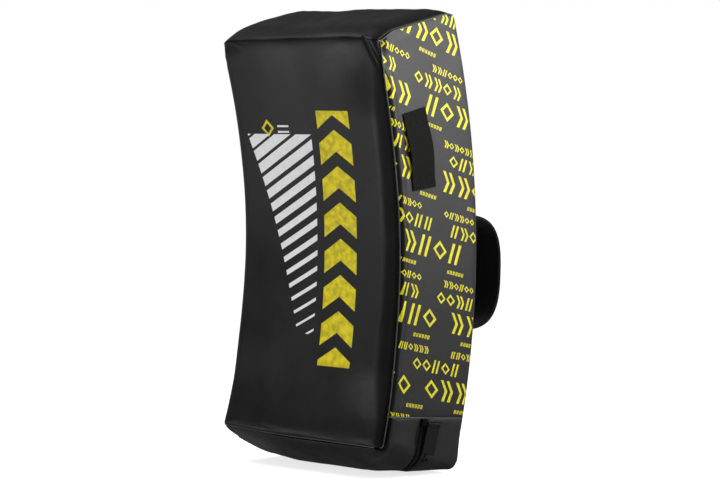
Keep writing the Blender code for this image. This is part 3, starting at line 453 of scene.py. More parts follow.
def make_face_leather():
    """Black leather with two screen prints: a column of chevrons, and a wedge of slanting, thinning rungs.

    A chevron is a step in the height plus a share of the distance from the column's middle. A rung is a step
    in the height less a share of the distance across, and the step's share falls towards the wedge's foot.
    A small hollow diamond and two dashes stand over the wedge.
    """
    # Painted shade at the seams: half of the colour and shine is left right at the seam.
    painted_seam_shade = (0.0, 0.004, 0.5)
    made, tree, shader, shade = leather("polyurethane_leather_screen_printed", "0e0e0e", painted_seam_shade=painted_seam_shade)
    across, up = flat_chart(tree)

    from_column = add(tree, "Math ABSOLUTE", add(tree, "Math SUBTRACT", across, COLUMN_X))
    pointed = add(tree, "Math MULTIPLY_ADD", from_column, CHEVRON_SLOPE, up)
    pointed = add(tree, "Math DIVIDE", add(tree, "Math ADD", pointed, COLUMN_REACH), CHEVRON_STEP)
    chevrons = add(tree, "Math LESS_THAN", add(tree, "Math FRACT", pointed), CHEVRON_SHARE)
    column = add(tree, "Math LESS_THAN", from_column, COLUMN_HALF)
    column = add(tree, "Math MULTIPLY", column, add(tree, "Math COMPARE", up, 0.004, COLUMN_REACH))
    yellow_mask = add(tree, "Math MULTIPLY", chevrons, column)

    lean = add(tree, "Math MULTIPLY_ADD", across, -RUNG_SLOPE, up)
    inked = add(tree, "MapRange", lean, -0.150, 0.235, 0.16, 0.80)
    rungs = add(tree, "Math DIVIDE", add(tree, "Math ADD", lean, 0.5), RUNG_STEP)
    rungs = add(tree, "Math LESS_THAN", add(tree, "Math FRACT", rungs), inked)
    left_limit = add(tree, "MapRange", up, -0.170, 0.190, -0.030, -0.150)
    wedge = add(tree, "Math GREATER_THAN", across, left_limit)
    wedge = add(tree, "Math MULTIPLY", wedge, add(tree, "Math LESS_THAN", across, 0.008))
    wedge = add(tree, "Math MULTIPLY", wedge, add(tree, "Math COMPARE", up, 0.010, 0.182))
    white_mask = add(tree, "Math MULTIPLY", rungs, wedge)

    mark_across = add(tree, "Math ABSOLUTE", add(tree, "Math ADD", across, 0.096))
    mark_up = add(tree, "Math ABSOLUTE", add(tree, "Math SUBTRACT", up, 0.203))
    diamond = add(tree, "Math COMPARE", add(tree, "Math ADD", mark_across, mark_up), 0.0125, 0.0032)
    from_dashes = add(tree, "Math ABSOLUTE", add(tree, "Math SUBTRACT", up, 0.2015))
    dashes = add(tree, "Math COMPARE", from_dashes, 0.0052, 0.0017)
    dashes = add(tree, "Math MULTIPLY", dashes, add(tree, "Math COMPARE", across, -0.058, 0.0135))

    yellow_mask = add(tree, "Math MAXIMUM", yellow_mask, diamond)
    white_mask = add(tree, "Math MAXIMUM", white_mask, dashes)
    yellow = ink(tree, shader, shade, yellow_mask, "ecd911", 0.62)
    ink(tree, shader, yellow, white_mask, "f2f2f2", 0.93)
    return made


def make_side_leather():
    """Black leather from a printed roll: yellow rows of motifs in four sizes, crisp on the satin black."""
    # Painted shade at the seams: only 6 % of the colour and shine is left close to the seam.
    painted_seam_shade = (0.0016, 0.0100, 0.06)
    made, tree, shader, shade = leather("polyurethane_leather_printed_roll", "1e1e1e", painted_seam_shade=painted_seam_shade)
    rows = [(0.035, 0.172, 0.028, 0.000, 0.085, 3.7), (0.022, 0.108, 0.039, 0.044, 0.090, 11.3),
            (0.012, 0.070, 0.050, 0.074, 0.105, 23.9), (0.0065, 0.038, 0.070, 0.098, 0.130, 41.1)]
    ink(tree, shader, shade, print_mask(tree, rows), "dcd218", 0.8)
    return made


cover_black = make_face_leather()
side_black = make_side_leather()
# The band and the end cap get painted shade at their seams too.
band_black = leather("polyurethane_leather_band", "171717", painted_seam_shade=(0.0050, 0.0180, 0.08))[0]
top_black = leather("polyurethane_leather_end_cap", "101010", painted_seam_shade=(0.0, 0.004, 0.4))[0]
back_black = leather("polyurethane_leather_plain", "101010")[0]
# The beads and the welt are near-black vinyl drawn mid-grey: a painted highlight, on top of the real gloss of
# their round shape.
bead_vinyl_painted_highlight = leather("vinyl_bead_extruded", "424242", 0.3)[0]
strap_black = leather("polyurethane_leather_soft", "060606", 0.5, specular=0.28)[0]
tab_black = leather("polyurethane_leather_tab", "080808", 0.55, specular=0.28)[0]


def woven(name, colour, thread, roughness=0.8, twill=0.0):
    """A weave of two threads: the product of two sines, in tone and height. It gives a dull, ribbed black."""
    made, tree, shader = new_material(name, roughness, specular=0.12, Sheen_Weight=0.05)
    along, up = flat_chart(tree)
    leaning = add(tree, "Math MULTIPLY_ADD", up, twill, along)
    weft = add(tree, "Math SINE", add(tree, "Math MULTIPLY", leaning, 2 * math.pi / thread))
    warp = add(tree, "Math SINE", add(tree, "Math MULTIPLY", up, 2 * math.pi / thread))
    knot = add(tree, "Math MULTIPLY", weft, warp)
    place = add(tree, "TexCoord", output=3)
    fuzz = add(tree, "TexNoise", place, in_Scale=1 / 0.003, in_Detail=4.0)
    tone = add(tree, "MapRange", knot, -1.0, 1.0, 0.7, 1.3)
    tone = add(tree, "Math MULTIPLY", tone, add(tree, "MapRange", fuzz, *SPREAD, 0.75, 1.25))
    bump = add(tree, "Bump", in_Strength=0.6, in_Distance=thread * 0.2, in_Height=knot)
    tint(tree, shader, colour, tone, Normal=bump)
    return made


webbing_black = woven("nylon_webbing_woven", "0b0b0a", 0.0034)
tape_black = woven("polyester_zip_tape_woven", "060606", 0.0016, twill=1.0)
lining_black = woven("polyester_lining_knitted", "060606", 0.0022, twill=0.5)
thread_black = woven("polyester_thread_twisted", "1d1d1d", 0.0008)


def painted_metal(name, colour, roughness):
    """Zinc alloy, die cast and then plated black: dark, with a soft bright edge."""
    made, tree, shader = new_material(name, roughness, metallic=1.0)
    worn = add(tree, "TexNoise", add(tree, "TexCoord", output=3), in_Scale=1 / 0.002, in_Detail=4.0)
    rough = add(tree, "MapRange", worn, *SPREAD, roughness - 0.08, roughness + 0.1)
    tone = add(tree, "MapRange", worn, *SPREAD, 0.8, 1.25)
    tint(tree, shader, colour, tone, Roughness=rough)
    return made


black_zinc = painted_metal("zinc_die_cast_black", "2a2a2a", 0.38)


def nylon(name, colour):
    """Polyamide monofilament: smooth, and a little clear, so each turn of the coil has its own glint."""
    made, tree, shader = new_material(name, 0.28, specular=0.5)
    place = add(tree, "TexCoord", output=3)
    cloudy = add(tree, "TexNoise", place, in_Scale=1 / 0.01, in_Detail=2.0)
    tone = add(tree, "MapRange", cloudy, *SPREAD, 0.8, 1.2)
    tint(tree, shader, colour, tone)
    return made


coil_nylon = nylon("polyamide_monofilament", "101010")


def foam(name, colour, cell):
    """Foam: matt, with open cells drawn as a fine Voronoi relief."""
    made, tree, shader = new_material(name, 0.95, specular=0.2)
    place = add(tree, "TexCoord", output=3)
    cells = add(tree, "TexVoronoi", place, in_Scale=1 / cell)
    tone = add(tree, "MapRange", cells, 0.0, 0.8, 0.75, 1.1)
    bump = add(tree, "Bump", in_Strength=0.8, in_Distance=cell * 0.3, in_Height=cells)
    tint(tree, shader, colour, tone, Normal=bump)
    return made


soft_foam = foam("polyurethane_foam_open_cell", "d8d3b4", 0.0018)
firm_foam = foam("polyethylene_foam_closed_cell", "3e3e42", 0.0012)


# The padded cover

# The strike face: its swell, the roll at its sides, the share of the swell that its end seams keep, the
# narrow roll there, and the depth over which the top and the band are pushed forward with these seams
SWELL = 0.018
SIDE_ROLL = 0.028
UPPER_HOLD = 0.97
LOWER_HOLD = 0.85
END_ROLL = 0.006
END_REACH = 0.055
IMPACT_DEPTH = 0.0295

# The top's dome and its roll, and the lean of the side print with its change for each metre up
DOME = 0.012
DOME_REACH = 0.045
PRINT_SLOPE = 0.26
PRINT_FAN = 0.28

# How the seams round the top bow: up in front, up behind the front corners, up in the rear's middle and
# down at its corners, with how far each of these reaches, and the wave of the left seam
FRONT_BOW = 0.0105
FRONT_BOW_REACH = 0.100
SIDE_BOW = 0.0085
SIDE_BOW_REACH = 0.036
REAR_BOW = 0.0018
REAR_DROP = 0.0040
REAR_DROP_REACH = 0.018
LEFT_WAVE = 0.0028
LEFT_WAVE_LENGTH = 0.19

# The tucks in the strike face: distance from the side, half width, length and fade, and how much they lean
TUCKS = ((0.0160, 0.0028, 0.042, 0.02), (0.0240, 0.0032, 0.058, 0.03))
TUCK_LEAN = 0.42
TUCK_DEPTH = 0.0042

# Beside the front seams lie a groove and a ridge, each with its size, its distance from the seam and its half
# width
SIDE_GROOVE = (0.0036, 0.0032, 0.0019)
SIDE_RIDGE = (0.0024, 0.0100, 0.0065)
BAND_GROOVE = (0.0040, 0.0042, 0.0026)
BAND_RIDGE = (0.0024, 0.0125, 0.0075)

# Radii of the rounded corners: the face's upper and lower ones, and the base's at the zip and at the back
CORNER_UPPER = 0.003
CORNER_FRONT = 0.008
CORNER_MID = 0.038
CORNER_BACK = 0.0080

# The underside: how far its edges hang below the seams, how much more its bulge does, the share of the way
# to the middle at which that bulge is full, its turn up to the back, how far the back is pushed out, and
# the height of the back's lower edge
EDGE_DROP_MID = 0.0262
EDGE_DROP_BACK = 0.0042
CROWN_MID = 0.0055
CROWN_BACK = 0.00544
LAND = 0.50
CURL = 0.0110
BACK_SAG = 0.0048
BACK_LOW = -HALF_LENGTH - EDGE_DROP_BACK + CURL

# The left end stands a little higher: at the lower front seam, and over the whole front half of the band
LEFT_RISE = 0.007
LEFT_LIFT = 0.0012

# The zip's depth, the roll of the band beside it, and the beads' radius and how far they stand off
ZIP_DEPTH = PAD_DEPTH / 2
LIP = 0.007
BEAD = 0.0011
BEAD_STAND = 0.0019


def dress(obj, body, material, nodes=()):
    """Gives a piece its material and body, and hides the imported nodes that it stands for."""
    obj.data.materials.clear()
    obj.data.materials.append(material)
    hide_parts(*nodes)
    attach(obj, body)
    return obj


def top_edge(x, depth):
    """The height of the seams round the top: the filling bows them up between the corners.

    The front seam bows by a quarter ellipse, the side seams by a squared sine behind their front corner, and
    the rear seam by a bell. The rear corners are drawn down. The left seam also follows a cosine line, low
    at both its corners.
    """
    x, depth = np.asarray(x, float), np.asarray(depth, float)
    share = np.clip(depth / PAD_DEPTH, 0, 1)
    front = FRONT_BOW * rise(SEAM_X - np.abs(x), FRONT_BOW_REACH) * (1 - share) ** 2
    side = SIDE_BOW * (1 - share) * np.sin(math.pi / 2 * np.clip(depth / SIDE_BOW_REACH, 0, 1)) ** 2
    rear = ease((share * PAD_DEPTH - (PAD_DEPTH - REAR_DROP_REACH)) / REAR_DROP_REACH)
    rear = REAR_DROP * rear * (np.abs(x) / SEAM_X) ** 10
    left = 0.0003 + LEFT_WAVE * np.cos(2 * math.pi * share * PAD_DEPTH / LEFT_WAVE_LENGTH)
    left = left * np.clip(-x / SEAM_X, 0, 1) ** 3
    rear = rear - REAR_BOW * bell(x - 0.04, 0.10) * share**2
    return HALF_LENGTH + front + side * (np.abs(x) / SEAM_X) ** 4 - rear - left


def rounded_corner(a, b, half_a, half_b, radius):
    """Turns the corner square that ends at (half_a, half_b) into a quarter disc.

    Each place in the square is shortened by the root of 1 less half the square of the other one.
    """
    u = (np.abs(a) - (half_a - radius)) / radius
    v = (np.abs(b) - (half_b - radius)) / radius
    inside = (u > 0) & (v > 0)
    shorter_u, shorter_v = (np.sqrt(np.maximum(0, 1 - np.clip(k, 0, 1) ** 2 / 2)) for k in (v, u))
    new_a = np.sign(a) * (half_a - radius + radius * u * shorter_u)
    new_b = np.sign(b) * (half_b - radius + radius * v * shorter_v)
    return np.where(inside, new_a, a), np.where(inside, new_b, b)


# How much fuller the left half of the strike face is at each height, and how far its right front seam leads.
# Both are lines between a few heights, and a cosine window rounds off their bends.
FULLER_S = np.linspace(-0.36, 0.36, 97)
FULLER = np.interp(FULLER_S, [-0.36, -0.27, -0.20, -0.12, -0.03, 0.05, 0.16, 0.30, 0.36],
                   [0.0100, 0.0066, 0.0084, 0.0062, 0.0026, 0.0014, 0.0036, 0.0056, 0.0060])
LEAD = np.interp(FULLER_S, [-0.36, -0.31, -0.18, 0.0, 0.145, 0.29, 0.335, 0.36],
                 [-0.0018, -0.0012, 0.0034, 0.0043, 0.0076, 0.0074, 0.0030, 0.0])
SOFTENER = np.hanning(15)[1:-1] / np.hanning(15).sum()
FULLER, LEAD = (np.convolve(np.pad(line, 6, mode="edge"), SOFTENER, mode="valid") for line in (FULLER, LEAD))


def lead(s):
    """How far the right front seam stands forward of the pad's arc, as its foam has been pushed there."""
    return np.interp(s, FULLER_S, LEAD)


def lead_across(x, s):
    """The same lead carried across the face: it eases in over its right half."""
    return lead(s) * ease((x - 0.09) / 0.09)


def fullness(x, s):
    """How much further the strike face swells than SWELL: more at the left, less at the two right corners."""
    left = np.interp(s, FULLER_S, FULLER) * ease((0.02 - x) / 0.12)
    upper = 0.0070 * ease((s - 0.22) / 0.10) * ease((x - 0.05) / 0.10)
    lower = 0.0095 * ease((-s - 0.22) / 0.10) * ease((x - 0.07) / 0.10)
    return left - upper - lower


def side_swell(x, s, inset=0.0):
    """The share of the strike face's swell at a distance from its side seams.

    It comes sooner at the right corners, and later at the very end of the upper left one.
    """
    narrow = 0.013 * ease((np.abs(s) - 0.24) / 0.08) * (np.asarray(x) > 0)
    wide = 0.034 * ease((s - HALF_LENGTH + 0.024) / 0.024) * (np.asarray(x) < 0)
    return rise(SEAM_X - inset - np.abs(x), SIDE_ROLL - inset - narrow + wide)


def end_hold(s):
    """The share of the swell that is left at the seam of this end."""
    return np.where(np.asarray(s) > 0, UPPER_HOLD, LOWER_HOLD)


def end_bulge(x, end):
    """How far the filling pushes the upper (end 1) or lower (end -1) front seam forward at x."""
    s = end * HALF_LENGTH
    return end_hold(s) * (SWELL + fullness(x, s)) * side_swell(x, s)


def left_rise(x):
    """How far the lower front seam rises towards its left end."""
    return LEFT_RISE * np.clip(-np.asarray(x, float) / SEAM_X, 0, 1) ** 2


def strike_points(x, s, inset=0.0):
    """The strike face swells forward by its fullness times a quarter ellipse from its side seams.

    Its ends keep most of that swell at the seam, and reach the rest of it over a narrow roll.
    """
    half_x, half_s = SEAM_X - inset, HALF_LENGTH - inset
    hold = end_hold(s)
    swell = side_swell(x, s, inset) * (hold + (1 - hold) * rise(half_s - np.abs(s), END_ROLL))
    full = fullness(x, s)
    lower = rounded_corner(x, s, half_x, half_s, CORNER_FRONT)
    upper = rounded_corner(x, s, half_x, half_s, CORNER_UPPER)
    new_x = np.where(s < 0, lower[0], upper[0])
    new_s = np.where(s < 0, lower[1], upper[1])
    new_s = new_s + (top_edge(x, 0) - HALF_LENGTH) * np.clip(s / HALF_LENGTH, 0, 1) ** 4
    new_s = new_s + left_rise(new_x) * np.clip(-s / HALF_LENGTH, 0, 1) ** 12
    ahead = lead_across(x, s)
    return new_x, -0.0003 - ahead - (SWELL - inset + full - 0.6 * ahead) * swell, new_s


def make_strike_skin():
    """The strike face, with two tucks near each upper corner that run down towards the side."""
    columns = edge_spaced(SEAM_X, SIDE_ROLL, 16, 92)
    rows = edge_spaced(HALF_LENGTH, 0.030, 16, 190)
    x, s = np.meshgrid(columns, rows)
    to_side = SEAM_X - np.abs(x)
    to_end = HALF_LENGTH - np.abs(s)
    edge = np.minimum(to_side, to_end)
    new_x, depth, new_s = strike_points(x, s)
    tuck = sum(bell(to_side - place + to_end * TUCK_LEAN, half) * ease((length - to_end) / fade) * (s > 0)
               for place, half, length, fade in TUCKS)
    depth = depth + TUCK_DEPTH * tuck * rise(edge, 0.004)
    obj = surface_piece("strike_skin", laid(new_x, depth, new_s), np.stack([x, s], axis=-1),
                        seam=np.where(s < 0, np.minimum(to_side, to_end + 0.004), edge))
    puckered(obj, edge, push=2.0, spare=0.05, reach=0.020, cap=0.0030)
    return wall(obj)


def make_impact_filling():
    """The soft layer under the strike face: the same swell, sunk by 6 mm, and a flat back."""
    inset = 0.006
    columns = edge_spaced(SEAM_X - inset, SIDE_ROLL - inset, 6, 40)
    rows = edge_spaced(HALF_LENGTH - inset, 0.021 - inset, 6, 80)
    x, depth, s = strike_points(*np.meshgrid(columns, rows), inset)
    front = surface_piece("impact_filling", laid(x, depth, s))
    rear = surface_piece("impact_filling_back", laid(x, IMPACT_DEPTH, s), flip=True)
    cage = bmesh.new()
    cage.from_mesh(front.data)
    cage.from_mesh(rear.data)
    rims = [e for e in cage.edges if e.is_boundary]
    bmesh.ops.bridge_loops(cage, edges=rims)
    bmesh.ops.recalc_face_normals(cage, faces=cage.faces)
    cage.to_mesh(front.data)
    cage.free()
    bpy.data.objects.remove(rear)
    return front


def tucked_half_width(*distances):
    """Half of the pad's width, drawn in by the stitches near the seams at these distances."""
    nearest = np.minimum.reduce([np.asarray(d, float) for d in distances])
    return HALF_WIDTH - 0.001 * (1 - rise(nearest, 0.005))


def band_top(depth):
    """The line where the base band meets the side panel. It is higher at the back."""
    return -HALF_LENGTH + 0.0560 + 0.0235 * np.asarray(depth, float) / PAD_DEPTH


def make_side_skin(name, side):
    """A side panel: flat, drawn in at its seams, and a little full along the front seam.

    Its rows of print run straight over the cut panel and don't follow its arc. They lean more at the top.
    """
    front = 0.010 * (1 - np.cos(np.linspace(0, math.pi / 2, 7)))
    depths = np.concatenate([front, np.linspace(0.013, PAD_DEPTH - 0.010, 50), PAD_DEPTH - front[-2::-1]])
    depths[0] = 0.0002
    shares = np.concatenate([[0, 0.002, 0.005], np.linspace(0.009, 0.991, 180), [0.995, 0.998, 1]])
    depth, share = np.meshgrid(depths, shares)
    low = band_top(depth) + 0.0002
    high = top_edge(side * SEAM_X, depth)
    s = low + share * (high - low)
    edges = np.minimum.reduce([depth, PAD_DEPTH - depth, s - low, high - s])
    x = tucked_half_width(depth, PAD_DEPTH - depth, s - low, high - s)
    upper = ease((s - 0.27) / 0.05)
    size, place, half = SIDE_GROOVE
    x = x - size * (1 - 0.85 * upper) * bell(depth - place, half)
    size, place, half = SIDE_RIDGE
    full = (size + 0.0007 * waver(s, 11 + side, longest=0.16)) * bell(depth - place, half)
    full = full * (1 + 0.5 * upper)
    full += 0.0010 * bell(high - s - 0.012, 0.010) + 0.0006 * bell(s - low - 0.012, 0.010)
    x = x + full * ease(edges / 0.006)
    ahead = lead(s) * (1 - ease(depth / 0.045)) if side > 0 else 0.0
    points = laid(side * x, depth - ahead, s)
    lean = PRINT_SLOPE + PRINT_FAN * (points[..., 2] - MIDDLE[2])
    flat = np.stack([points[..., 1], points[..., 2] + lean * points[..., 1]], axis=-1)
    obj = surface_piece(name, points, flat, flip=side < 0, seam=np.minimum(depth + 0.016 * upper, 0.02))
    quiet = 1 - bell(np.hypot((depth - 0.050) / 0.030, (s - 0.158) / 0.075), 1.0)
    edges = np.where(edges < 0.0003, 0.0, edges)
    puckered(obj, edges, push=1.5, spare=0.04 * quiet.ravel(), reach=0.016, cap=0.0016)
    return wall(obj)


def make_top_skin():
    """The top panel: the product of two quarter ellipses over the bowed seams, with two soft humps."""
    half = SEAM_X - 0.0008
    columns = edge_spaced(half, DOME_REACH, 12, 60)
    rows = edge_spaced(PAD_DEPTH / 2 - 0.0003, DOME_REACH, 12, 20) + PAD_DEPTH / 2
    x, depth = np.meshgrid(columns, rows)
    ends = np.minimum(depth - rows[0], rows[-1] - depth)
    edge = np.minimum(half - np.abs(x), ends)
    dome = DOME * rise(half - np.abs(x), DOME_REACH) * rise(ends, DOME_REACH)
    sag = 0.0010 * waver(x + 0.6 * depth, 5, longest=0.22) * ease(edge / 0.03)
    sag = sag + (0.0028 * bell(x + 0.125, 0.050) + 0.0016 * bell(x - 0.050, 0.090)) * ease(edge / 0.03)
    pushed = depth - end_bulge(x, 1) * (1 - ease(depth / END_REACH))
    points = laid(x, pushed, top_edge(x, depth) + dome + sag)
    seam = np.minimum(half - np.abs(x) + 0.003, depth - rows[0])
    obj = surface_piece("top_skin", points, np.stack([x, depth], axis=-1), seam=seam)
    puckered(obj, edge, push=1.5, spare=0.05, reach=0.018, cap=0.0020)
    return wall(obj)


def curl(depth):
    """How far the underside has turned up at this depth, on its way round to the back."""
    past = np.clip(depth - (PAD_DEPTH - CURL), 0, CURL)
    return CURL - np.sqrt(np.maximum(0.0, CURL**2 - past**2))


def back_sag(depth, s):
    """How far the filling pushes the lower rear edge backwards."""
    return BACK_SAG * np.clip((depth - 0.120) / (PAD_DEPTH - 0.120), 0, 1) ** 2 * ease((-0.305 - s) / 0.05)


def band_section(leg, share, depth):
    """The base band's outline at a depth, on its right half.

    Leg 0 is the straight side, leg 1 a quarter circle, and leg 2 the underside to the middle, which bulges by
    a squared sine. How low it hangs follows a quarter ellipse from the front to the zip, and a straight line
    from there to the back.
    """
    swell = rise(depth, ZIP_DEPTH)
    behind = np.clip((depth - ZIP_DEPTH) / (PAD_DEPTH - CURL - ZIP_DEPTH), 0, 1)
    edge = swell * (EDGE_DROP_MID + (EDGE_DROP_BACK - EDGE_DROP_MID) * behind)
    middle = swell * (CROWN_MID + (CROWN_BACK - CROWN_MID) * behind) * rise(PAD_DEPTH - depth, CURL)
    corner = CORNER_FRONT + (CORNER_MID - CORNER_FRONT) * rise(depth, CORNER_MID)
    corner = corner + (CORNER_BACK - CORNER_MID) * behind
    base = -HALF_LENGTH - edge + curl(depth)
    start = band_top(depth) - 0.0002
    end = base + corner
    side_s = start + share * (end - start)
    half = tucked_half_width(depth, PAD_DEPTH - depth, np.where(leg == 0, start - side_s, 1.0))
    turn = share * math.pi / 2
    hump = np.sin(math.pi / 2 * np.clip(share / LAND, 0, 1)) ** 2
    x = np.choose(leg, [half, half - corner + corner * np.cos(turn), (half - corner) * (1 - share)])
    s = np.choose(leg, [side_s, end - corner * np.sin(turn), base - middle * hump])
    return x, s


def band_stations(side_cells, corner_cells, under_cells):
    """The stations along the right half of the band, as its leg and its share of that leg.

    Two more stand near the seam with the side panel, where the band is drawn in.
    """
    near_seam = 0.005 / 0.060
    side = np.concatenate([[0, near_seam / 3, near_seam], np.linspace(near_seam, 1, side_cells + 1)[1:]])
    corner = np.linspace(0, 1, corner_cells + 1)[1:]
    under = np.linspace(0, 1, under_cells + 1)[1:]
    return np.repeat([0, 1, 2], [len(side), len(corner), len(under)]), np.concatenate([side, corner, under])


def groove_half(leg, share):
    """Half the width of the open groove over the zip: an almond on the side, and narrow underneath."""
    side = np.interp(share, [0, 0.15, 0.35, 0.7, 1], [0.0058, 0.0088, 0.0116, 0.0122, 0.0082])
    return np.choose(leg, [side, 0.0082 - 0.0042 * share, 0 * share + 0.0040])


def band_points(depth_of, stations):
    """The band over its whole length, right to left, with its outward directions in the plane of x and s."""
    legs, shares = stations
    depth = depth_of(legs, shares)
    x, s = band_section(legs[None, :] + 0 * depth.astype(int), shares[None, :] + 0 * depth, depth)
    dx, ds = np.gradient(x, axis=1), np.gradient(s, axis=1)
    length = np.maximum(np.hypot(dx, ds), 1e-9)
    out_x, out_s = -ds / length, dx / length
    out_x[:, -1], out_s[:, -1] = 0.0, -1.0

    def whole(a, sign=1.0):
        """A right half and its mirror image, as one row."""
        return np.concatenate([a, sign * a[:, -2::-1]], axis=1)

    x, depth, s = whole(x, -1.0), whole(depth), whole(s)
    ahead_of_zip = 1 - np.clip((depth - ZIP_DEPTH) / (PAD_DEPTH - ZIP_DEPTH), 0, 1)
    lift = LEFT_LIFT * ease(-x / 0.13) * ease((-HALF_LENGTH + 0.02 - s) / 0.02) * ahead_of_zip
    s = s + lift * rise(depth, 0.02)
    near_seam = 1 - ease(depth / END_REACH)
    s = s + left_rise(x) * near_seam * ease((-HALF_LENGTH + 0.02 - s) / 0.02)
    ahead = end_bulge(x, -1) + lead_across(x, s)
    depth = depth - ahead * near_seam + back_sag(depth, s)
    return x, depth, s, whole(out_x, -1.0), whole(out_s)


def make_band_skin(name, front):
    """One half of the base band. Its edge along the zip rolls in towards the tape.

    Its rows lie close together at the front seam, at that lip and round the turn to the back. A hollow and a
    swelling run beside the front seam on both sides.
    """
    stations = band_stations(16, 14, 46)
    legs, shares = stations

    def depth_of(legs, shares):
        """The depth of each row at each station."""
        opening = groove_half(legs, shares)
        lip_turn = np.linspace(0, math.pi / 2, 7)[:, None]
        if front:
            share = 1 - np.cos(np.linspace(0, math.pi / 2, 20))
            reach = ZIP_DEPTH - opening
            return np.concatenate([0.0003 + share[:, None] * (reach - LIP - 0.0003)[None],
                                   reach[None] - LIP + LIP * np.sin(lip_turn)[1:]])
        turn = np.linspace(0, math.pi / 2, 9)
        start = ZIP_DEPTH + opening
        flat_part = np.linspace(0, 1, 16)[1:-1]
        return np.concatenate([
            start[None] + LIP * (1 - np.cos(lip_turn)),
            start[None] + LIP + flat_part[:, None] * (PAD_DEPTH - CURL - start - LIP)[None],
            PAD_DEPTH - CURL + CURL * np.sin(turn)[:, None] + 0 * start[None]])

    x, depth, s, out_x, out_s = band_points(depth_of, stations)
    opening = groove_half(legs, shares)
    opening = np.concatenate([opening, opening[-2::-1]])[None]
    from_zip = np.abs(depth - ZIP_DEPTH) - opening
    sunk = 0.0030 * (1 - rise(from_zip, 0.008))
    run = along_grid(x, s)
    soft = 0.0010 * waver(run + depth * 0.3, 31 if front else 32, longest=0.24)
    to_end = run.max() - run
    far = ease(from_zip / 0.02) * ease(np.minimum(depth, PAD_DEPTH - depth) / 0.02) * ease(run / 0.03)
    far = far * ease(to_end / 0.03) * (1 - ease((np.abs(out_s) - 0.6) / 0.3) * (0 if front else 1))
    beside = ease((np.abs(x) - 0.16) / 0.02) if front else 0.0
    ridge, groove = (size * bell(depth - place, half) for size, place, half in (BAND_RIDGE, BAND_GROOVE))
    puff = (ridge - groove) * ease(run / 0.004) * ease(to_end / 0.004) * beside
    move = soft * far - sunk + puff
    points = laid(x + out_x * move, depth, s + out_s * move)
    seam = depth + 0.045 * ease((0.188 - np.abs(x)) / 0.012) if front else 0.02 + 0 * depth
    obj = surface_piece(name, points, np.stack([run, depth], axis=-1), seam=np.minimum(seam, 0.02))
    from_seam = depth - depth.min() if front else PAD_DEPTH - depth
    edge = np.minimum.reduce([from_seam, np.maximum(from_zip, 0), run - run.min(), to_end])
    spare, cap = (0.04, 0.0016) if front else (0.02, 0.0008)
    puckered(obj, np.maximum(edge, 0), push=1.5, spare=spare, reach=0.014, cap=cap)
    return wall(obj)


def make_back_skin():
    """The back: flat, drawn in by a quarter ellipse at its edges, with round lower corners."""
    low = BACK_LOW + 0.0004
    high = HALF_LENGTH - 0.0004
    half = SEAM_X - 0.0012
    middle = (low + high) / 2
    columns = edge_spaced(half, 0.012, 8, 60)
    rows = edge_spaced((high - low) / 2, 0.012, 8, 120)
    x, up = np.meshgrid(columns, rows)
    edge = np.minimum(half - np.abs(x), (high - low) / 2 - np.abs(up))
    round_x, round_up = rounded_corner(x, up, half, (high - low) / 2, CORNER_BACK - 0.001)
    new_x = np.where(up < 0, round_x, x)
    new_s = np.where(up < 0, round_up, up) + middle
    new_s = new_s + (top_edge(x, PAD_DEPTH) - HALF_LENGTH) * np.clip(up / rows[-1], 0, 1) ** 40
    depth = PAD_DEPTH - 0.0010 * (1 - rise(edge, 0.006))
    depth = depth + back_sag(depth, new_s)
    obj = surface_piece("back_skin", laid(new_x, depth, new_s), np.stack([x, up], axis=-1), flip=True)
    return wall(obj)


def make_side_bead(name, side):
    """The bead round a side: along the top seam, down the front seam and round the lower corner."""
    depth = np.concatenate([np.linspace(0.1674, 0.050, 20), np.linspace(0.046, 0.004, 22)])
    top = np.stack([np.full_like(depth, SEAM_X + BEAD_STAND), depth, top_edge(side * SEAM_X, depth)], axis=1)
    down = np.linspace(HALF_LENGTH - 0.004, -HALF_LENGTH + CORNER_FRONT, 120)
    front = np.stack([np.full_like(down, SEAM_X + BEAD_STAND), 0 * down, down], axis=1)
    angle = np.linspace(0, math.radians(50), 12)[1:]
    reach = CORNER_FRONT + BEAD_STAND
    turn = np.stack([SEAM_X - CORNER_FRONT + reach * np.cos(angle), 0 * angle,
                     -HALF_LENGTH + CORNER_FRONT - reach * np.sin(angle)], axis=1)
    turn[:, 1] -= end_bulge(turn[:, 0], -1)
    if side > 0:
        front[:, 1] -= lead(front[:, 2])
        turn[:, 1] -= lead(turn[:, 2])
    else:
        turn[:, 2] += LEFT_RISE
        front[:, 2] += LEFT_RISE * np.clip(-front[:, 2] / HALF_LENGTH, 0, 1) ** 12
    route = np.concatenate([top, front, turn])
    route[:, 0] *= side
    return bead(name, laid(*route.T), np.tile([side, -0.3, 0.1], (len(route), 1)), BEAD)


def make_band_bead(name, side):
    """The bead between a side panel and the band."""
    depth = np.linspace(0.0029, 0.1674, 40)
    path = laid(side * (SEAM_X + 0.0012), depth, band_top(depth))
    return bead(name, path, np.tile([side, 0, 0.1], (len(depth), 1)), BEAD)


def make_welt(name):
    """The welt along the lower front seam."""
    x = np.linspace(-SEAM_X + CORNER_FRONT, SEAM_X - CORNER_FRONT, 120)
    path = laid(x, -0.0010 - end_bulge(x, -1), -HALF_LENGTH - 0.0006 + left_rise(x))
    return bead(name, path, np.tile([0.0, 0.0, 1.0], (len(x), 1)), 0.0010)


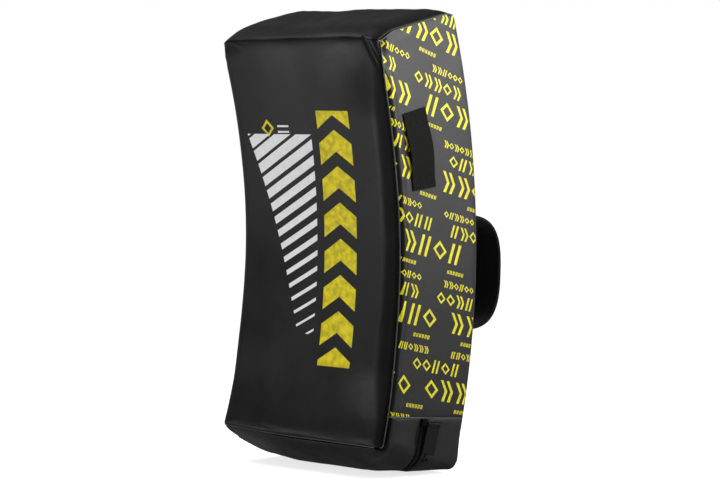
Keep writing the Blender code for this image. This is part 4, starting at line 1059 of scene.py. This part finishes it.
def make_back_bead(name):
    """The bead round the back: four straight lines joined by quarters of circles."""
    low, high, half = BACK_LOW + 0.0018, HALF_LENGTH - 0.0018, SEAM_X - 0.0018
    radius_low, radius_high = CORNER_BACK - 0.0015, 0.009

    def quarter(x, s, radius, start):
        """A quarter of a circle round (x, s), from this angle in degrees."""
        angle = np.radians(np.linspace(start, start + 90, 12))
        return np.stack([x + radius * np.cos(angle), s + radius * np.sin(angle)], axis=1)

    up = np.linspace(low + radius_low, high - radius_high, 90)[1:-1]
    loop = np.concatenate([
        quarter(half - radius_low, low + radius_low, radius_low, 270),
        np.stack([np.full_like(up, half), up], axis=1),
        quarter(half - radius_high, high - radius_high, radius_high, 0),
        quarter(-half + radius_high, high - radius_high, radius_high, 90),
        np.stack([np.full_like(up, -half), up[::-1]], axis=1),
        quarter(-half + radius_low, low + radius_low, radius_low, 180)])
    upper = np.clip(loop[:, 1] / HALF_LENGTH, 0, 1) ** 40
    loop[:, 1] += (top_edge(loop[:, 0], PAD_DEPTH) - HALF_LENGTH) * upper
    x, s = np.concatenate([loop, loop[:1] + [[1e-4, 0]]]).T
    path = laid(x, PAD_DEPTH + BEAD_STAND + back_sag(PAD_DEPTH, s), s)
    return bead(name, path, np.tile([0.0, 1.0, 0.0], (len(path), 1)), BEAD)


dress(make_strike_skin(), "pad", cover_black, ["strike_panel"])
dress(make_impact_filling(), "pad", soft_foam, ["impact_foam"])
dress(make_top_skin(), "pad", top_black, ["top_panel"])
for word, side in SIDES:
    skin = make_side_skin(f"side_skin_{word}", side)
    dress(skin, "pad", side_black, [f"side_panel_{word}"])
for word in ("front", "rear"):
    skin = make_band_skin(f"band_skin_{word}", word == "front")
    dress(skin, "pad", band_black, [f"base_band_{word}"])
dress(make_back_skin(), "pad", back_black, ["back_panel"])
for word, side in SIDES:
    dress(make_side_bead(f"side_bead_{word}", side), "pad", bead_vinyl_painted_highlight, [f"side_piping_{word}"])
    dress(make_band_bead(f"band_bead_{word}", side), "pad", bead_vinyl_painted_highlight, [f"band_piping_{word}"])
dress(make_welt("lower_seam_welt"), "pad", bead_vinyl_painted_highlight)
dress(make_back_bead("back_bead"), "pad", bead_vinyl_painted_highlight, ["back_piping"])

packed_as_they_are = {"core_foam": soft_foam, "backing_foam": firm_foam, "zip_stop_right": black_zinc,
                      "zip_stop_left": black_zinc, "zip_slider_base": black_zinc, "zip_slider": black_zinc,
                      "pull_loop": black_zinc}
for name, material in packed_as_they_are.items():
    packed_nodes[name].data.materials.clear()
    packed_nodes[name].data.materials.append(material)
broken = packed_nodes["zip_slider"].modifiers.new("Broken edges", "BEVEL")
broken.width = 0.0002
broken.segments = 2


# Zip

# The coils: how far they lie under the band's face, their depth and width, how far their ends stand back,
# the pitch of their turns and the radius of their wire
COIL_INSET = 0.0020
COIL_DEPTH = 0.0022
COIL_WIDTH = 0.0028
COIL_END = 0.0032
COIL_PITCH = 0.0016
COIL_WIRE = 0.00034

# The tapes: how far they lie under the band's face, their thickness, the width that is flat, and half the
# gap between them
TAPE_INSET = 0.0045
TAPE_WALL = 0.0007
TAPE_FLAT = 0.0040
TAPE_GAP = 0.0002


def on_the_zip(legs, shares):
    """One row of stations at the zip's own depth."""
    return np.full((1, len(legs)), ZIP_DEPTH)


def zip_line():
    """The band's line over the zip, right to left, its outward directions and the length run along it."""
    stations = band_stations(40, 40, 120)
    x, _, s, out_x, out_s = band_points(on_the_zip, stations)
    line = np.stack([x[0], s[0]], axis=1)
    outward = np.stack([out_x[0], out_s[0]], axis=1)
    return line, outward, length_along(line)


def zip_places(lengths, inset, depth):
    """Points at these lengths along the zip, sunk by inset under the band's face."""
    line, outward, run = zip_line()
    x, s = (np.interp(lengths, run, line[:, k]) - np.interp(lengths, run, outward[:, k]) * inset
            for k in (0, 1))
    return laid(x, depth, s)


def make_coil(name, side):
    """One row of teeth: a helix with half the coil's width and depth as radii, wound along the zip's line."""
    run = zip_line()[2]
    turns = (run[-1] - 2 * COIL_END) / COIL_PITCH
    angle = np.arange(0, turns, 1 / 14) * 2 * math.pi
    lengths = COIL_END + angle / (2 * math.pi) * COIL_PITCH + (COIL_PITCH / 2 if side > 0 else 0)
    lengths = np.minimum(lengths, run[-1] - COIL_END)
    half = COIL_WIDTH / 2
    depth = ZIP_DEPTH + side * (TAPE_GAP + half - (half - COIL_WIRE) * np.cos(angle))
    inset = COIL_INSET + COIL_DEPTH / 2 - (COIL_DEPTH / 2 - COIL_WIRE) * np.sin(angle)
    path = zip_places(lengths, inset, depth)
    along = zip_places(lengths + 1e-4, inset, depth) - path
    return closed(surface_piece(name, swept(path, along, disc(COIL_WIRE, 6)), ring=True))


def make_tape(name, side):
    """A zip tape: flat under the teeth, then rising to the band's inner face along a smooth step."""
    stations = band_stations(24, 20, 80)

    def depth_of(legs, shares):
        """The depth of each row at each station."""
        opening = groove_half(legs, shares)
        flat = np.minimum(TAPE_FLAT, opening - 0.0004)
        rows = [TAPE_GAP + (flat - TAPE_GAP) * k for k in (0, 0.35, 0.7, 1.0)]
        rows += [flat + (opening + 0.0035 - flat) * k for k in (0.2, 0.4, 0.6, 0.8, 1.0)]
        return ZIP_DEPTH + side * np.array(rows)

    x, depth, s, _, _ = band_points(depth_of, stations)
    flat_x, _, flat_s, flat_out_x, flat_out_s = band_points(on_the_zip, stations)
    climb = ease((np.arange(9)[:, None] - 3) / 5)
    sunk = TAPE_INSET + (WALL + TAPE_WALL - TAPE_INSET) * climb
    x = flat_x + (x - flat_x) * climb - flat_out_x * sunk
    s = flat_s + (s - flat_s) * climb - flat_out_s * sunk
    run = along_grid(x, s)
    obj = surface_piece(name, laid(x, depth, s), np.stack([run, depth], axis=-1), flip=side < 0)
    return wall(obj, TAPE_WALL)


for word, side in (("front", -1), ("rear", 1)):
    dress(make_coil(f"coil_{word}", side), "pad", coil_nylon, [f"zip_coil_{word}"])
    dress(make_tape(f"tape_{word}", side), "pad", tape_black, [f"zip_tape_{word}"])


# Thread


def make_stitches(name, start, end, out, pitch=0.0042, length=0.0030, radius=0.00042):
    """Rows of stitches: along each line from start to end, capsules of eight sides lie a pitch apart.

    start and end are lists of points, and out the direction that they stand out in. Each capsule bows out a
    little at its middle and dips in at both ends.
    """
    start, end, out = np.asarray(start, float), np.asarray(end, float), np.asarray(out, float)
    places, ways, outs = [], [], []
    for a, b, o in zip(start, end, out):
        count = max(1, int(np.linalg.norm(b - a) / pitch))
        share = (np.arange(count) + 0.5) / count
        places.append(a + (b - a) * share[:, None])
        ways.append(np.tile((b - a) / np.linalg.norm(b - a), (count, 1)))
        outs.append(np.tile(o / np.linalg.norm(o), (count, 1)))
    place, way, out = np.concatenate(places), np.concatenate(ways), np.concatenate(outs)
    across = np.cross(way, out)
    along = np.array([-1, -0.86, -0.5, 0, 0.5, 0.86, 1]) * length / 2
    thick = radius * np.array([0, 0.62, 0.95, 1, 0.95, 0.62, 0])
    dip = radius * np.array([-1.2, -0.7, 0, 0.3, 0, -0.7, -1.2])
    ring = disc(1.0, 8)
    height = dip[:, None] + thick[:, None] * ring[None, :, 0]
    width = thick[:, None] * ring[None, :, 1]
    points = (place[:, None, None] + way[:, None, None] * along[None, :, None, None]
              + out[:, None, None] * height[None, ..., None] + across[:, None, None] * width[None, ..., None])
    rows, sides = len(along), len(ring)
    quads = grid_quads(rows, sides, ring=True)
    quads = (quads[None] + np.arange(len(place))[:, None, None] * rows * sides).reshape(-1, 4)
    flat = np.stack(np.broadcast_arrays(along[:, None], ring[None, :, 1] * radius), axis=-1)
    return closed(quad_piece(name, points, quads, np.tile(flat, (len(place), 1, 1))))


# Side handles

# The handle: its place, turn, size, sewn ends, arch and webbing, and its rows of stitches from the end
HANDLE_DEPTH = 0.050
HANDLE_S = 0.158
HANDLE_TURN = 0.055
HANDLE_WIDTH = 0.052
HANDLE_LENGTH = 0.135
HANDLE_LAND = 0.020
HANDLE_ARCH = 0.0046
WEBBING = 0.0022
STITCH_ROWS = (0.0040, 0.0190, 0.0222)


def handle_place(side, across, along, lift=0.0):
    """A point of the handle: a raised cosine bow between its two sewn ends, turned a little on the panel."""
    start = -HANDLE_LENGTH / 2
    share = np.clip((along - start - HANDLE_LAND) / (HANDLE_LENGTH - 2 * HANDLE_LAND), 0, 1)
    bow = HANDLE_ARCH * (0.5 - 0.5 * np.cos(2 * math.pi * share)) ** 0.45
    depth = HANDLE_DEPTH + across - HANDLE_TURN * along
    s = HANDLE_S + along + HANDLE_TURN * across
    return laid(side * (HALF_WIDTH + 0.0003 + WEBBING + bow + lift), depth, s)


def make_handle(name, side):
    """Flat webbing with thick selvedges and ends that sink where the rows of stitches pull them down."""
    half_width, half_length = HANDLE_WIDTH / 2, HANDLE_LENGTH / 2
    columns = edge_spaced(half_width, 0.003, 3, 20)
    rows = edge_spaced(half_length, 0.002, 3, 110)
    across, along = np.meshgrid(columns, rows)
    to_side = half_width - np.abs(across)
    to_end = half_length - np.abs(along)
    lift = -0.0006 * (1 - rise(to_side, 0.0012)) - 0.0006 * (1 - rise(to_end, 0.0010))
    for row in STITCH_ROWS:
        lift = lift - 0.0003 * bell(to_end - row, 0.0012)
    lift = lift + 0.0005 * waver(along, 7 + side, longest=0.09) * ease((to_end - 0.02) / 0.01)
    lift = lift + 0.0002 * bell(to_side - 0.0018, 0.0012)
    obj = surface_piece(name, handle_place(side, across, along, lift), np.stack([across, along], axis=-1),
                        flip=side < 0)
    return wall(obj, 0.0018)


def make_handle_stitches(name, side):
    """Rows across both ends of the handle, and one down each edge between them."""
    starts, ends = [], []
    half = HANDLE_WIDTH / 2 - 0.0035
    for end in (-1, 1):
        for row in STITCH_ROWS:
            along = end * (HANDLE_LENGTH / 2 - row)
            starts.append(handle_place(side, -half, along))
            ends.append(handle_place(side, half, along))
        for edge in (-half, half):
            starts.append(handle_place(side, edge, end * (HANDLE_LENGTH / 2 - STITCH_ROWS[0])))
            ends.append(handle_place(side, edge, end * (HANDLE_LENGTH / 2 - STITCH_ROWS[1])))
    return make_stitches(name, starts, ends, [[side, 0, 0]] * len(starts), radius=0.0005)


for word, side in SIDES:
    handle = make_handle(f"handle_webbing_{word}", side)
    dress(handle, "pad", webbing_black, [f"side_handle_{word}"])
    dress(make_handle_stitches(f"handle_thread_{word}", side), "pad", thread_black)


# Arm straps

# The straps: their place, width, span, rise over the back, turned-out foot, sewn tail, gap under them,
# rolled edge and number of points, then the walls of their three layers and the patches on their tails
STRAP_X = 0.115
STRAP_WIDTH = 0.092
STRAP_S = -0.053
STRAP_SPAN = 0.177
STRAP_RISE = 0.092
STRAP_FOOT = 0.007
STRAP_TAIL = 0.028
STRAP_SEAT = 0.0005
STRAP_ROLL = 0.012
STRAP_POINTS = 170
SHELL_WALL = 0.0012
FOAM_WALL = 0.0030
LINING_WALL = 0.0010
LAYERS = SHELL_WALL + FOAM_WALL + LINING_WALL
PATCH_LENGTH = 0.020
PATCH_MIDDLE = STRAP_SPAN / 2 + STRAP_FOOT + STRAP_TAIL - PATCH_LENGTH / 2


def strap_line():
    """The strap's outer line as height over the back and s: tail, foot, a rounded arch, foot and tail.

    The arch is a superellipse of power 3. The points are then spaced evenly along the line.
    """
    base = STRAP_SEAT + LAYERS + 0.0006
    turn = np.radians(np.linspace(5, 90, 60))
    height = STRAP_SEAT + STRAP_RISE * np.sin(turn) ** (2 / 3)
    along = STRAP_SPAN / 2 * np.maximum(0, np.cos(turn)) ** (2 / 3)
    leg = along[0]
    bend = np.linspace(0, math.pi / 2, 8)
    foot = np.stack([base + STRAP_FOOT * (1 - np.cos(bend)), leg + STRAP_FOOT * (1 - np.sin(bend))], axis=1)
    half = np.concatenate([[[base, leg + STRAP_FOOT + STRAP_TAIL]], foot, np.stack([height, along], axis=1)])
    line = np.concatenate([half * [1, -1], half[-2::-1]])
    run = length_along(line)
    even = np.linspace(0, run[-1], STRAP_POINTS)
    line = np.stack([np.interp(even, run, line[:, k]) for k in (0, 1)], axis=1)
    way = np.gradient(line, axis=0)
    way /= np.linalg.norm(way, axis=1)[:, None]
    out = np.stack([way[:, 1], -way[:, 0]], axis=1)
    return line, out, even


def strap_layer(name, side, inset, thickness, swell, half, trim=0):
    """One layer of an arm strap: its line carried across, sunk by inset and swollen in the middle."""
    line, out, run = strap_line()
    keep = slice(trim, len(line) - trim)
    line, out, run = line[keep], out[keep], run[keep]
    columns = edge_spaced(half, STRAP_ROLL, 8, 14)
    x, row = np.meshgrid(columns, np.arange(len(line)))
    to_side = half - np.abs(x)
    to_end = np.minimum(run - run[0], run[-1] - run)[row]
    raised = swell * rise(to_side, STRAP_ROLL) * ease((to_end - STRAP_TAIL) / 0.02)
    uneven = 0.0006 * waver(run[row] + x, 3 + side, longest=0.11)
    raised = raised + uneven * ease(to_side / 0.02) * ease(to_end / 0.04)
    height = line[row, 0] + out[row, 0] * (raised - inset)
    s = line[row, 1] + out[row, 1] * (raised - inset)
    points = laid(side * STRAP_X + x, PAD_DEPTH + height, STRAP_S + s)
    obj = surface_piece(name, points, np.stack([x, run[row]], axis=-1), flip=True)
    return wall(obj, thickness)


def make_strap_binding(name, side):
    """The bound edges of a strap: on each, a flat tape wraps round all three layers."""
    line, out, run = strap_line()
    depth = LAYERS + 0.0004
    middle = line - out * depth / 2
    outline = oval(0.0020, depth / 2 + 0.0004, 16, 0.6, 0.6)
    flat = np.stack(np.meshgrid(np.arange(16) * 0.001, run), axis=-1)
    pieces = []
    for word, edge in (("a", -1), ("b", 1)):
        x = side * STRAP_X + edge * (STRAP_WIDTH / 2 - 0.0016)
        path = laid(x, PAD_DEPTH + middle[:, 0], STRAP_S + middle[:, 1])
        points = swept(path, np.tile([1.0, 0, 0], (len(path), 1)), outline)
        pieces.append(closed(surface_piece(f"{name}_{word}", points, flat, ring=True)))
    return pieces


def make_strap_patch(name, side, end):
    """A reinforcement sewn over a strap's tail, with soft edges."""
    half = STRAP_WIDTH / 2 - 0.0004
    base = STRAP_SEAT + LAYERS + 0.0009
    columns = edge_spaced(half, 0.002, 4, 20)
    rows = edge_spaced(PATCH_LENGTH / 2, 0.002, 4, 8)
    x, along = np.meshgrid(columns, rows)
    edge = np.minimum(half - np.abs(x), PATCH_LENGTH / 2 - np.abs(along))
    height = base + 0.0015 - 0.0009 * (1 - rise(edge, 0.002)) - 0.0004 * bell(edge - 0.0035, 0.0012)
    points = laid(side * STRAP_X + x, PAD_DEPTH + height, STRAP_S + end * PATCH_MIDDLE + along)
    return wall(surface_piece(name, points, np.stack([x, along], axis=-1), flip=True), 0.0008)


def make_strap_stitches(name, side):
    """On each patch, a row of stitches round the edge and two rows that cross from corner to corner."""
    height = PAD_DEPTH + STRAP_SEAT + LAYERS + 0.0022
    half = STRAP_WIDTH / 2 - 0.0040
    reach = PATCH_LENGTH / 2 - 0.0036
    corners = np.array([(-half, -reach), (half, -reach), (half, reach), (-half, reach), (-half, -reach),
                        (half, reach), (half, -reach), (-half, reach)])
    routes = [laid(side * STRAP_X + corners[:, 0], height, STRAP_S + end * PATCH_MIDDLE + corners[:, 1])
              for end in (-1, 1)]
    starts = np.concatenate([route[:-1] for route in routes])
    ends = np.concatenate([route[1:] for route in routes])
    return make_stitches(name, starts, ends, [[0, 1, -0.04]] * len(starts))


for word, side in SIDES:
    half = STRAP_WIDTH / 2 - 0.0012
    shell = strap_layer(f"strap_cover_{word}", side, 0.0, SHELL_WALL, 0.0016, half)
    dress(shell, "pad", strap_black, [f"strap_shell_{word}"])
    inset = SHELL_WALL + 0.0003
    filling = strap_layer(f"strap_filling_{word}", side, inset, FOAM_WALL, 0.0016, half - 0.001, trim=14)
    dress(filling, "pad", firm_foam, [f"strap_foam_{word}"])
    inset = SHELL_WALL + FOAM_WALL + 0.0006
    lining = strap_layer(f"strap_inner_{word}", side, inset, LINING_WALL, -0.0008, half)
    dress(lining, "pad", lining_black, [f"strap_lining_{word}"])
    for obj in make_strap_binding(f"strap_binding_{word}", side):
        dress(obj, "pad", tape_black)
    for place, end in (("upper", 1), ("lower", -1)):
        patch = make_strap_patch(f"strap_patch_cover_{word}_{place}", side, end)
        dress(patch, "pad", strap_black, [f"strap_patch_{word}_{place}"])
    dress(make_strap_stitches(f"strap_thread_{word}", side), "pad", thread_black)


# Pull tab

# The pull's hinge and its directions, as packed, its wire, its tab, and the ring and neck at the tab's end
PULL_ORIGIN = np.array([0.1967, -0.04919, 0.08756])
PULL_LEVEL = np.array([0.0, 0.99602, -0.08912])
PULL_UP = np.array([0.0, 0.08912, 0.99602])
PULL_OUT = np.array([1.0, 0.0, 0.0])
BAND_SLOPE = math.atan(0.027 / PAD_DEPTH)
WIRE = 0.0007
TAB_DROP = 0.0044
TAB_FRONT = 0.006
TAB_WIDTH = 0.028
TAB_LENGTH = 0.0495
TAB_OUT = 0.0014
TAB_LEAN = math.asin(TAB_OUT / TAB_LENGTH)
TAB_THICK = 0.0011
TAB_SEAM = 0.0024
HEM = 0.011
RING_ACROSS = 0.0105
RING_DROP = 0.0106
RING_RADIUS = 0.0043
RING_SECTION = (0.0015, 0.0010)
NECK_LENGTH = 0.0088
NECK_RADIUS = 0.0021


def pull_place(out, across, up):
    """A point of the pull in its own axes: out of the panel, across it towards the back, and up the zip."""
    out, across, up = (np.asarray(v, float)[..., None] for v in (out, across, up))
    across = across + up * math.tan(BAND_SLOPE)
    return PULL_ORIGIN + out * PULL_OUT + across * PULL_LEVEL + up * PULL_UP


def make_tab():
    """The tab: one strip of leather that comes up behind the wire, turns round it and hangs down in front.

    Its path is a straight line, a half circle round the wire, and a longer straight line. The section is a
    flat oval, so all its edges are round.
    """
    radius = WIRE + 0.0003 + TAB_THICK / 2
    turn = np.linspace(math.pi, 0, 14)[1:-1]
    behind, ahead = np.linspace(-HEM, 0, 10), np.linspace(0, -TAB_LENGTH, 44)
    hem_out = np.concatenate([np.full(10, -radius), radius * np.cos(turn), np.full(44, radius)])
    hem_up = np.concatenate([behind, radius * np.sin(turn), ahead])
    shut = ease(-hem_up / 0.008)
    hem_out = hem_out + (np.sign(hem_out) * TAB_THICK * 0.52 - hem_out) * shut
    hem_out = np.where(hem_out > 0, hem_out * (1 - ease((-hem_up - HEM) / 0.008)), hem_out)
    out = hem_out + hem_up * math.sin(TAB_LEAN)
    middle = TAB_FRONT + TAB_WIDTH / 2
    path = pull_place(out, middle + 0 * out, hem_up * math.cos(TAB_LEAN) - TAB_DROP)
    size = np.ones(len(path))
    size[[0, -1]] = 0.94
    outline = oval(TAB_WIDTH / 2, TAB_THICK / 2, 40, 0.16, 0.7) * size[:, None, None]
    aside = np.tile(PULL_LEVEL, (len(path), 1))
    return closed(surface_piece("tab_strip", swept(path, aside, outline), ring=True))


def make_tab_ring():
    """A moulded ring on a short neck at the tab's lower end. The ring is a torus with an oval section."""
    centre_across = TAB_FRONT + RING_ACROSS
    centre_up = -TAB_DROP - TAB_LENGTH - RING_DROP
    lean = math.sin(TAB_LEAN)
    circle = disc(1.0, 48)
    section = disc(1.0, 14) * RING_SECTION
    radial = RING_RADIUS + section[None, :, 0]
    across = centre_across + radial * circle[:, :1]
    up = centre_up + radial * circle[:, 1:]
    ring_points = pull_place((up + TAB_DROP) * lean + section[None, :, 1], across, up)
    ring_points = np.concatenate([ring_points, ring_points[:1]])
    ring = closed(surface_piece("tab_ring", ring_points, ring=True))
    up = -TAB_DROP - TAB_LENGTH + 0.0030 - np.linspace(0, NECK_LENGTH, 8)
    path = pull_place((up + TAB_DROP) * lean - 0.0003, centre_across + 0 * up, up)
    outline = disc(NECK_RADIUS, 16) * [1.0, 0.42]
    neck = closed(surface_piece("tab_neck", swept(path, np.tile(PULL_LEVEL, (8, 1)), outline), ring=True))
    return ring, neck


def make_tab_stitches():
    """A row inside the tab's edge, and two across the hem."""
    left, right = TAB_FRONT + TAB_SEAM, TAB_FRONT + TAB_WIDTH - TAB_SEAM
    top, low = -0.0075, -TAB_LENGTH + TAB_SEAM
    rows = np.array([(left, top, right, top), (left, -0.0100, right, -0.0100), (left, top, left, low),
                     (right, top, right, low), (left, low, right, low)])
    across, up = rows[:, 0::2].T, rows[:, 1::2].T
    out = 0.00062 + up * math.sin(TAB_LEAN)
    starts, ends = pull_place(out, across, up * math.cos(TAB_LEAN) - TAB_DROP)
    return make_stitches("tab_thread", starts, ends, [PULL_OUT] * len(rows), pitch=0.0030, length=0.0022,
                         radius=0.0003)


dress(make_tab(), "pull", tab_black, ["pull_tab"])
for obj in make_tab_ring():
    dress(obj, "pull", tab_black)
dress(make_tab_stitches(), "pull", thread_black)


# Light, floor and camera

# The surround's light, and what its two sides show in a mirror
SURROUND = 0.35
LIT_SIDE = 0.13
DARK_SIDE = 0.04

# The floor's glow to the eye, then its painted glow in a mirror: far off, in the painted shade under the
# shield, and in the painted patch of light, with the distances over which these fade
FLOOR_GLOW = 0.75
FLOOR_MIRRORED = 0.27
FLOOR_UNDER_PAINTED_SHADE = 0.09
FLOOR_UNDER_PAINTED_SHADE_FADE = (0.15, 0.27)
FLOOR_PAINTED_LIGHT_PATCH = (-0.62, -1.00, 0.0)
FLOOR_PAINTED_LIGHT_GLOW = 5.5
FLOOR_PAINTED_LIGHT_FADE = (0.05, 0.45)
FLOOR_HALF = 12.0
FLOOR_Z = -0.0044
WHITE = (1.0, 1.0, 1.0, 1.0)


def make_stage():
    """A white floor that keeps the shadow of the shield, and a white surround.

    Mirrored in the leather, both are much darker. For mirrored rays the floor is painted dark grey, with
    painted shade close under the shield and one glowing patch of painted light in front of it, which
    brightens the upper part of the strike face.
    """
    world = bpy.data.worlds.new("white_surround")
    bpy.context.scene.world = world
    world.use_nodes = True
    tree = world.node_tree
    tree.nodes.clear()
    rays = tree.nodes.new("ShaderNodeLightPath")
    ways = add(tree, "TexCoord", output=0)
    toward = (math.sin(CAMERA_AZIMUTH), -math.cos(CAMERA_AZIMUTH), 0.0)
    facing = add(tree, "VectorMath DOT_PRODUCT", ways, toward, output=1)
    lit = add(tree, "MapRange", facing, -0.85, -0.25, LIT_SIDE, DARK_SIDE)
    glossy = add(tree, "Math MULTIPLY", rays.outputs["Is Glossy Ray"], lit)
    seen = add(tree, "Math MAXIMUM", rays.outputs["Is Camera Ray"], glossy)
    seen = add(tree, "Math MAXIMUM", seen, rays.outputs["Is Transmission Ray"])
    dim = add(tree, "Background", WHITE, SURROUND)
    white = add(tree, "Background", WHITE, 1.0)
    dark = add(tree, "Background", WHITE, 0.0)
    dull = add(tree, "MixShader", rays.outputs["Is Glossy Ray"], dim, dark)
    mixed = add(tree, "MixShader", seen, dull, white)
    out = tree.nodes.new("ShaderNodeOutputWorld")
    tree.links.new(mixed, out.inputs["Surface"])

    sides = np.array([-FLOOR_HALF, FLOOR_HALF])
    x, y = np.meshgrid(sides, sides)
    floor = surface_piece("floor", np.stack([x, y, np.full_like(x, FLOOR_Z)], axis=-1))
    made, tree, shader = new_material("painted_board_floor", 0.9, specular=0.1)
    rays = tree.nodes.new("ShaderNodeLightPath")
    # Painted reflection: mirrored rays see the floor dark grey, not white.
    shade = add(tree, "Mix", rays.outputs["Is Glossy Ray"], None, None, None, None, None, hue("f4f4f4"),
                hue("202020"), data_type="RGBA", output=2)
    place = add(tree, "TexCoord", output=3)
    from_shield = add(tree, "VectorMath LENGTH", place, output=1)
    # Painted shade close under the shield and a painted patch of light in front of it, seen only in mirrors.
    mirrored = add(tree, "MapRange", from_shield, *FLOOR_UNDER_PAINTED_SHADE_FADE, FLOOR_UNDER_PAINTED_SHADE, FLOOR_MIRRORED)
    from_patch = add(tree, "VectorMath DISTANCE", place, FLOOR_PAINTED_LIGHT_PATCH, output=1)
    patch = add(tree, "MapRange", from_patch, *FLOOR_PAINTED_LIGHT_FADE, FLOOR_PAINTED_LIGHT_GLOW, 0.0)
    seen = add(tree, "Math MULTIPLY", rays.outputs["Is Camera Ray"], FLOOR_GLOW)
    mirrored = add(tree, "Math ADD", mirrored, patch)
    glow = add(tree, "Math MULTIPLY_ADD", rays.outputs["Is Glossy Ray"], mirrored, seen)
    tree.links.new(shade, shader.inputs["Base Color"])
    shader.inputs["Emission Color"].default_value = WHITE
    tree.links.new(glow, shader.inputs["Emission Strength"])
    floor.data.materials.append(made)


def facing_frame(azimuth, elevation):
    """The axes right, up and back of a camera or lamp at this azimuth and elevation, in radians."""
    flat = math.cos(elevation)
    back = np.array([math.sin(azimuth) * flat, -math.cos(azimuth) * flat, math.sin(elevation)])
    right = np.array([math.cos(azimuth), math.sin(azimuth), 0.0])
    return right, np.cross(back, right), back


def stand(obj, *columns):
    """Links an object, with these vectors as its axes and its place."""
    bpy.context.scene.collection.objects.link(obj)
    obj.matrix_world = Matrix(np.vstack([np.column_stack(columns), [0, 0, 0, 1]]).tolist())


def make_lamp(name, azimuth, elevation, distance, width, height, power, aim):
    """A soft box that stands at this distance from its aim and is turned towards it."""
    right, up, back = facing_frame(math.radians(azimuth), math.radians(elevation))
    lamp = bpy.data.lights.new(name, "AREA")
    lamp.shape = "RECTANGLE"
    lamp.size = width
    lamp.size_y = height
    lamp.energy = power
    stand(bpy.data.objects.new(name, lamp), right, up, back, np.array(aim) + back * distance)


def make_camera():
    """The camera stands at its azimuth and elevation from the pad's middle, a little aside and raised."""
    right, up, back = facing_frame(CAMERA_AZIMUTH, CAMERA_ELEVATION)
    place = MIDDLE + back * CAMERA_DISTANCE + right * CAMERA_ASIDE + up * CAMERA_RAISED
    rolled_right = right * math.cos(CAMERA_ROLL) + up * math.sin(CAMERA_ROLL)
    rolled_up = -right * math.sin(CAMERA_ROLL) + up * math.cos(CAMERA_ROLL)
    data = bpy.data.cameras.new("camera")
    data.lens = CAMERA_LENS
    data.sensor_width = 36.0
    camera = bpy.data.objects.new("camera", data)
    stand(camera, rolled_right, rolled_up, back, place)
    bpy.context.scene.camera = camera


# Name, azimuth and elevation in degrees, distance, width, height, power and aim
LAMPS = (
    ("low_soft_box", -29, -18, 1.2, 0.85, 0.16, 1.1, (0.0, -0.10, 0.46)),
    ("upper_left_soft_box", -30, 56, 1.8, 1.4, 1.0, 15.5, (0.0, 0.0, 0.38)),
    ("right_rear_soft_box", 128, 36, 1.15, 0.9, 0.8, 8.3, (0.0, 0.0, 0.38)),
    ("right_fill_soft_box", 130, 10, 1.5, 1.1, 0.7, 7.5, (0.19, -0.02, 0.38)),
    ("corner_soft_box", 95, 8, 0.40, 0.08, 0.14, 1.1, (0.194, -0.14, 0.685)),
)

make_stage()
for lamp in LAMPS:
    make_lamp(*lamp)
make_camera()

bpy.context.scene.view_settings.view_transform = "Standard"
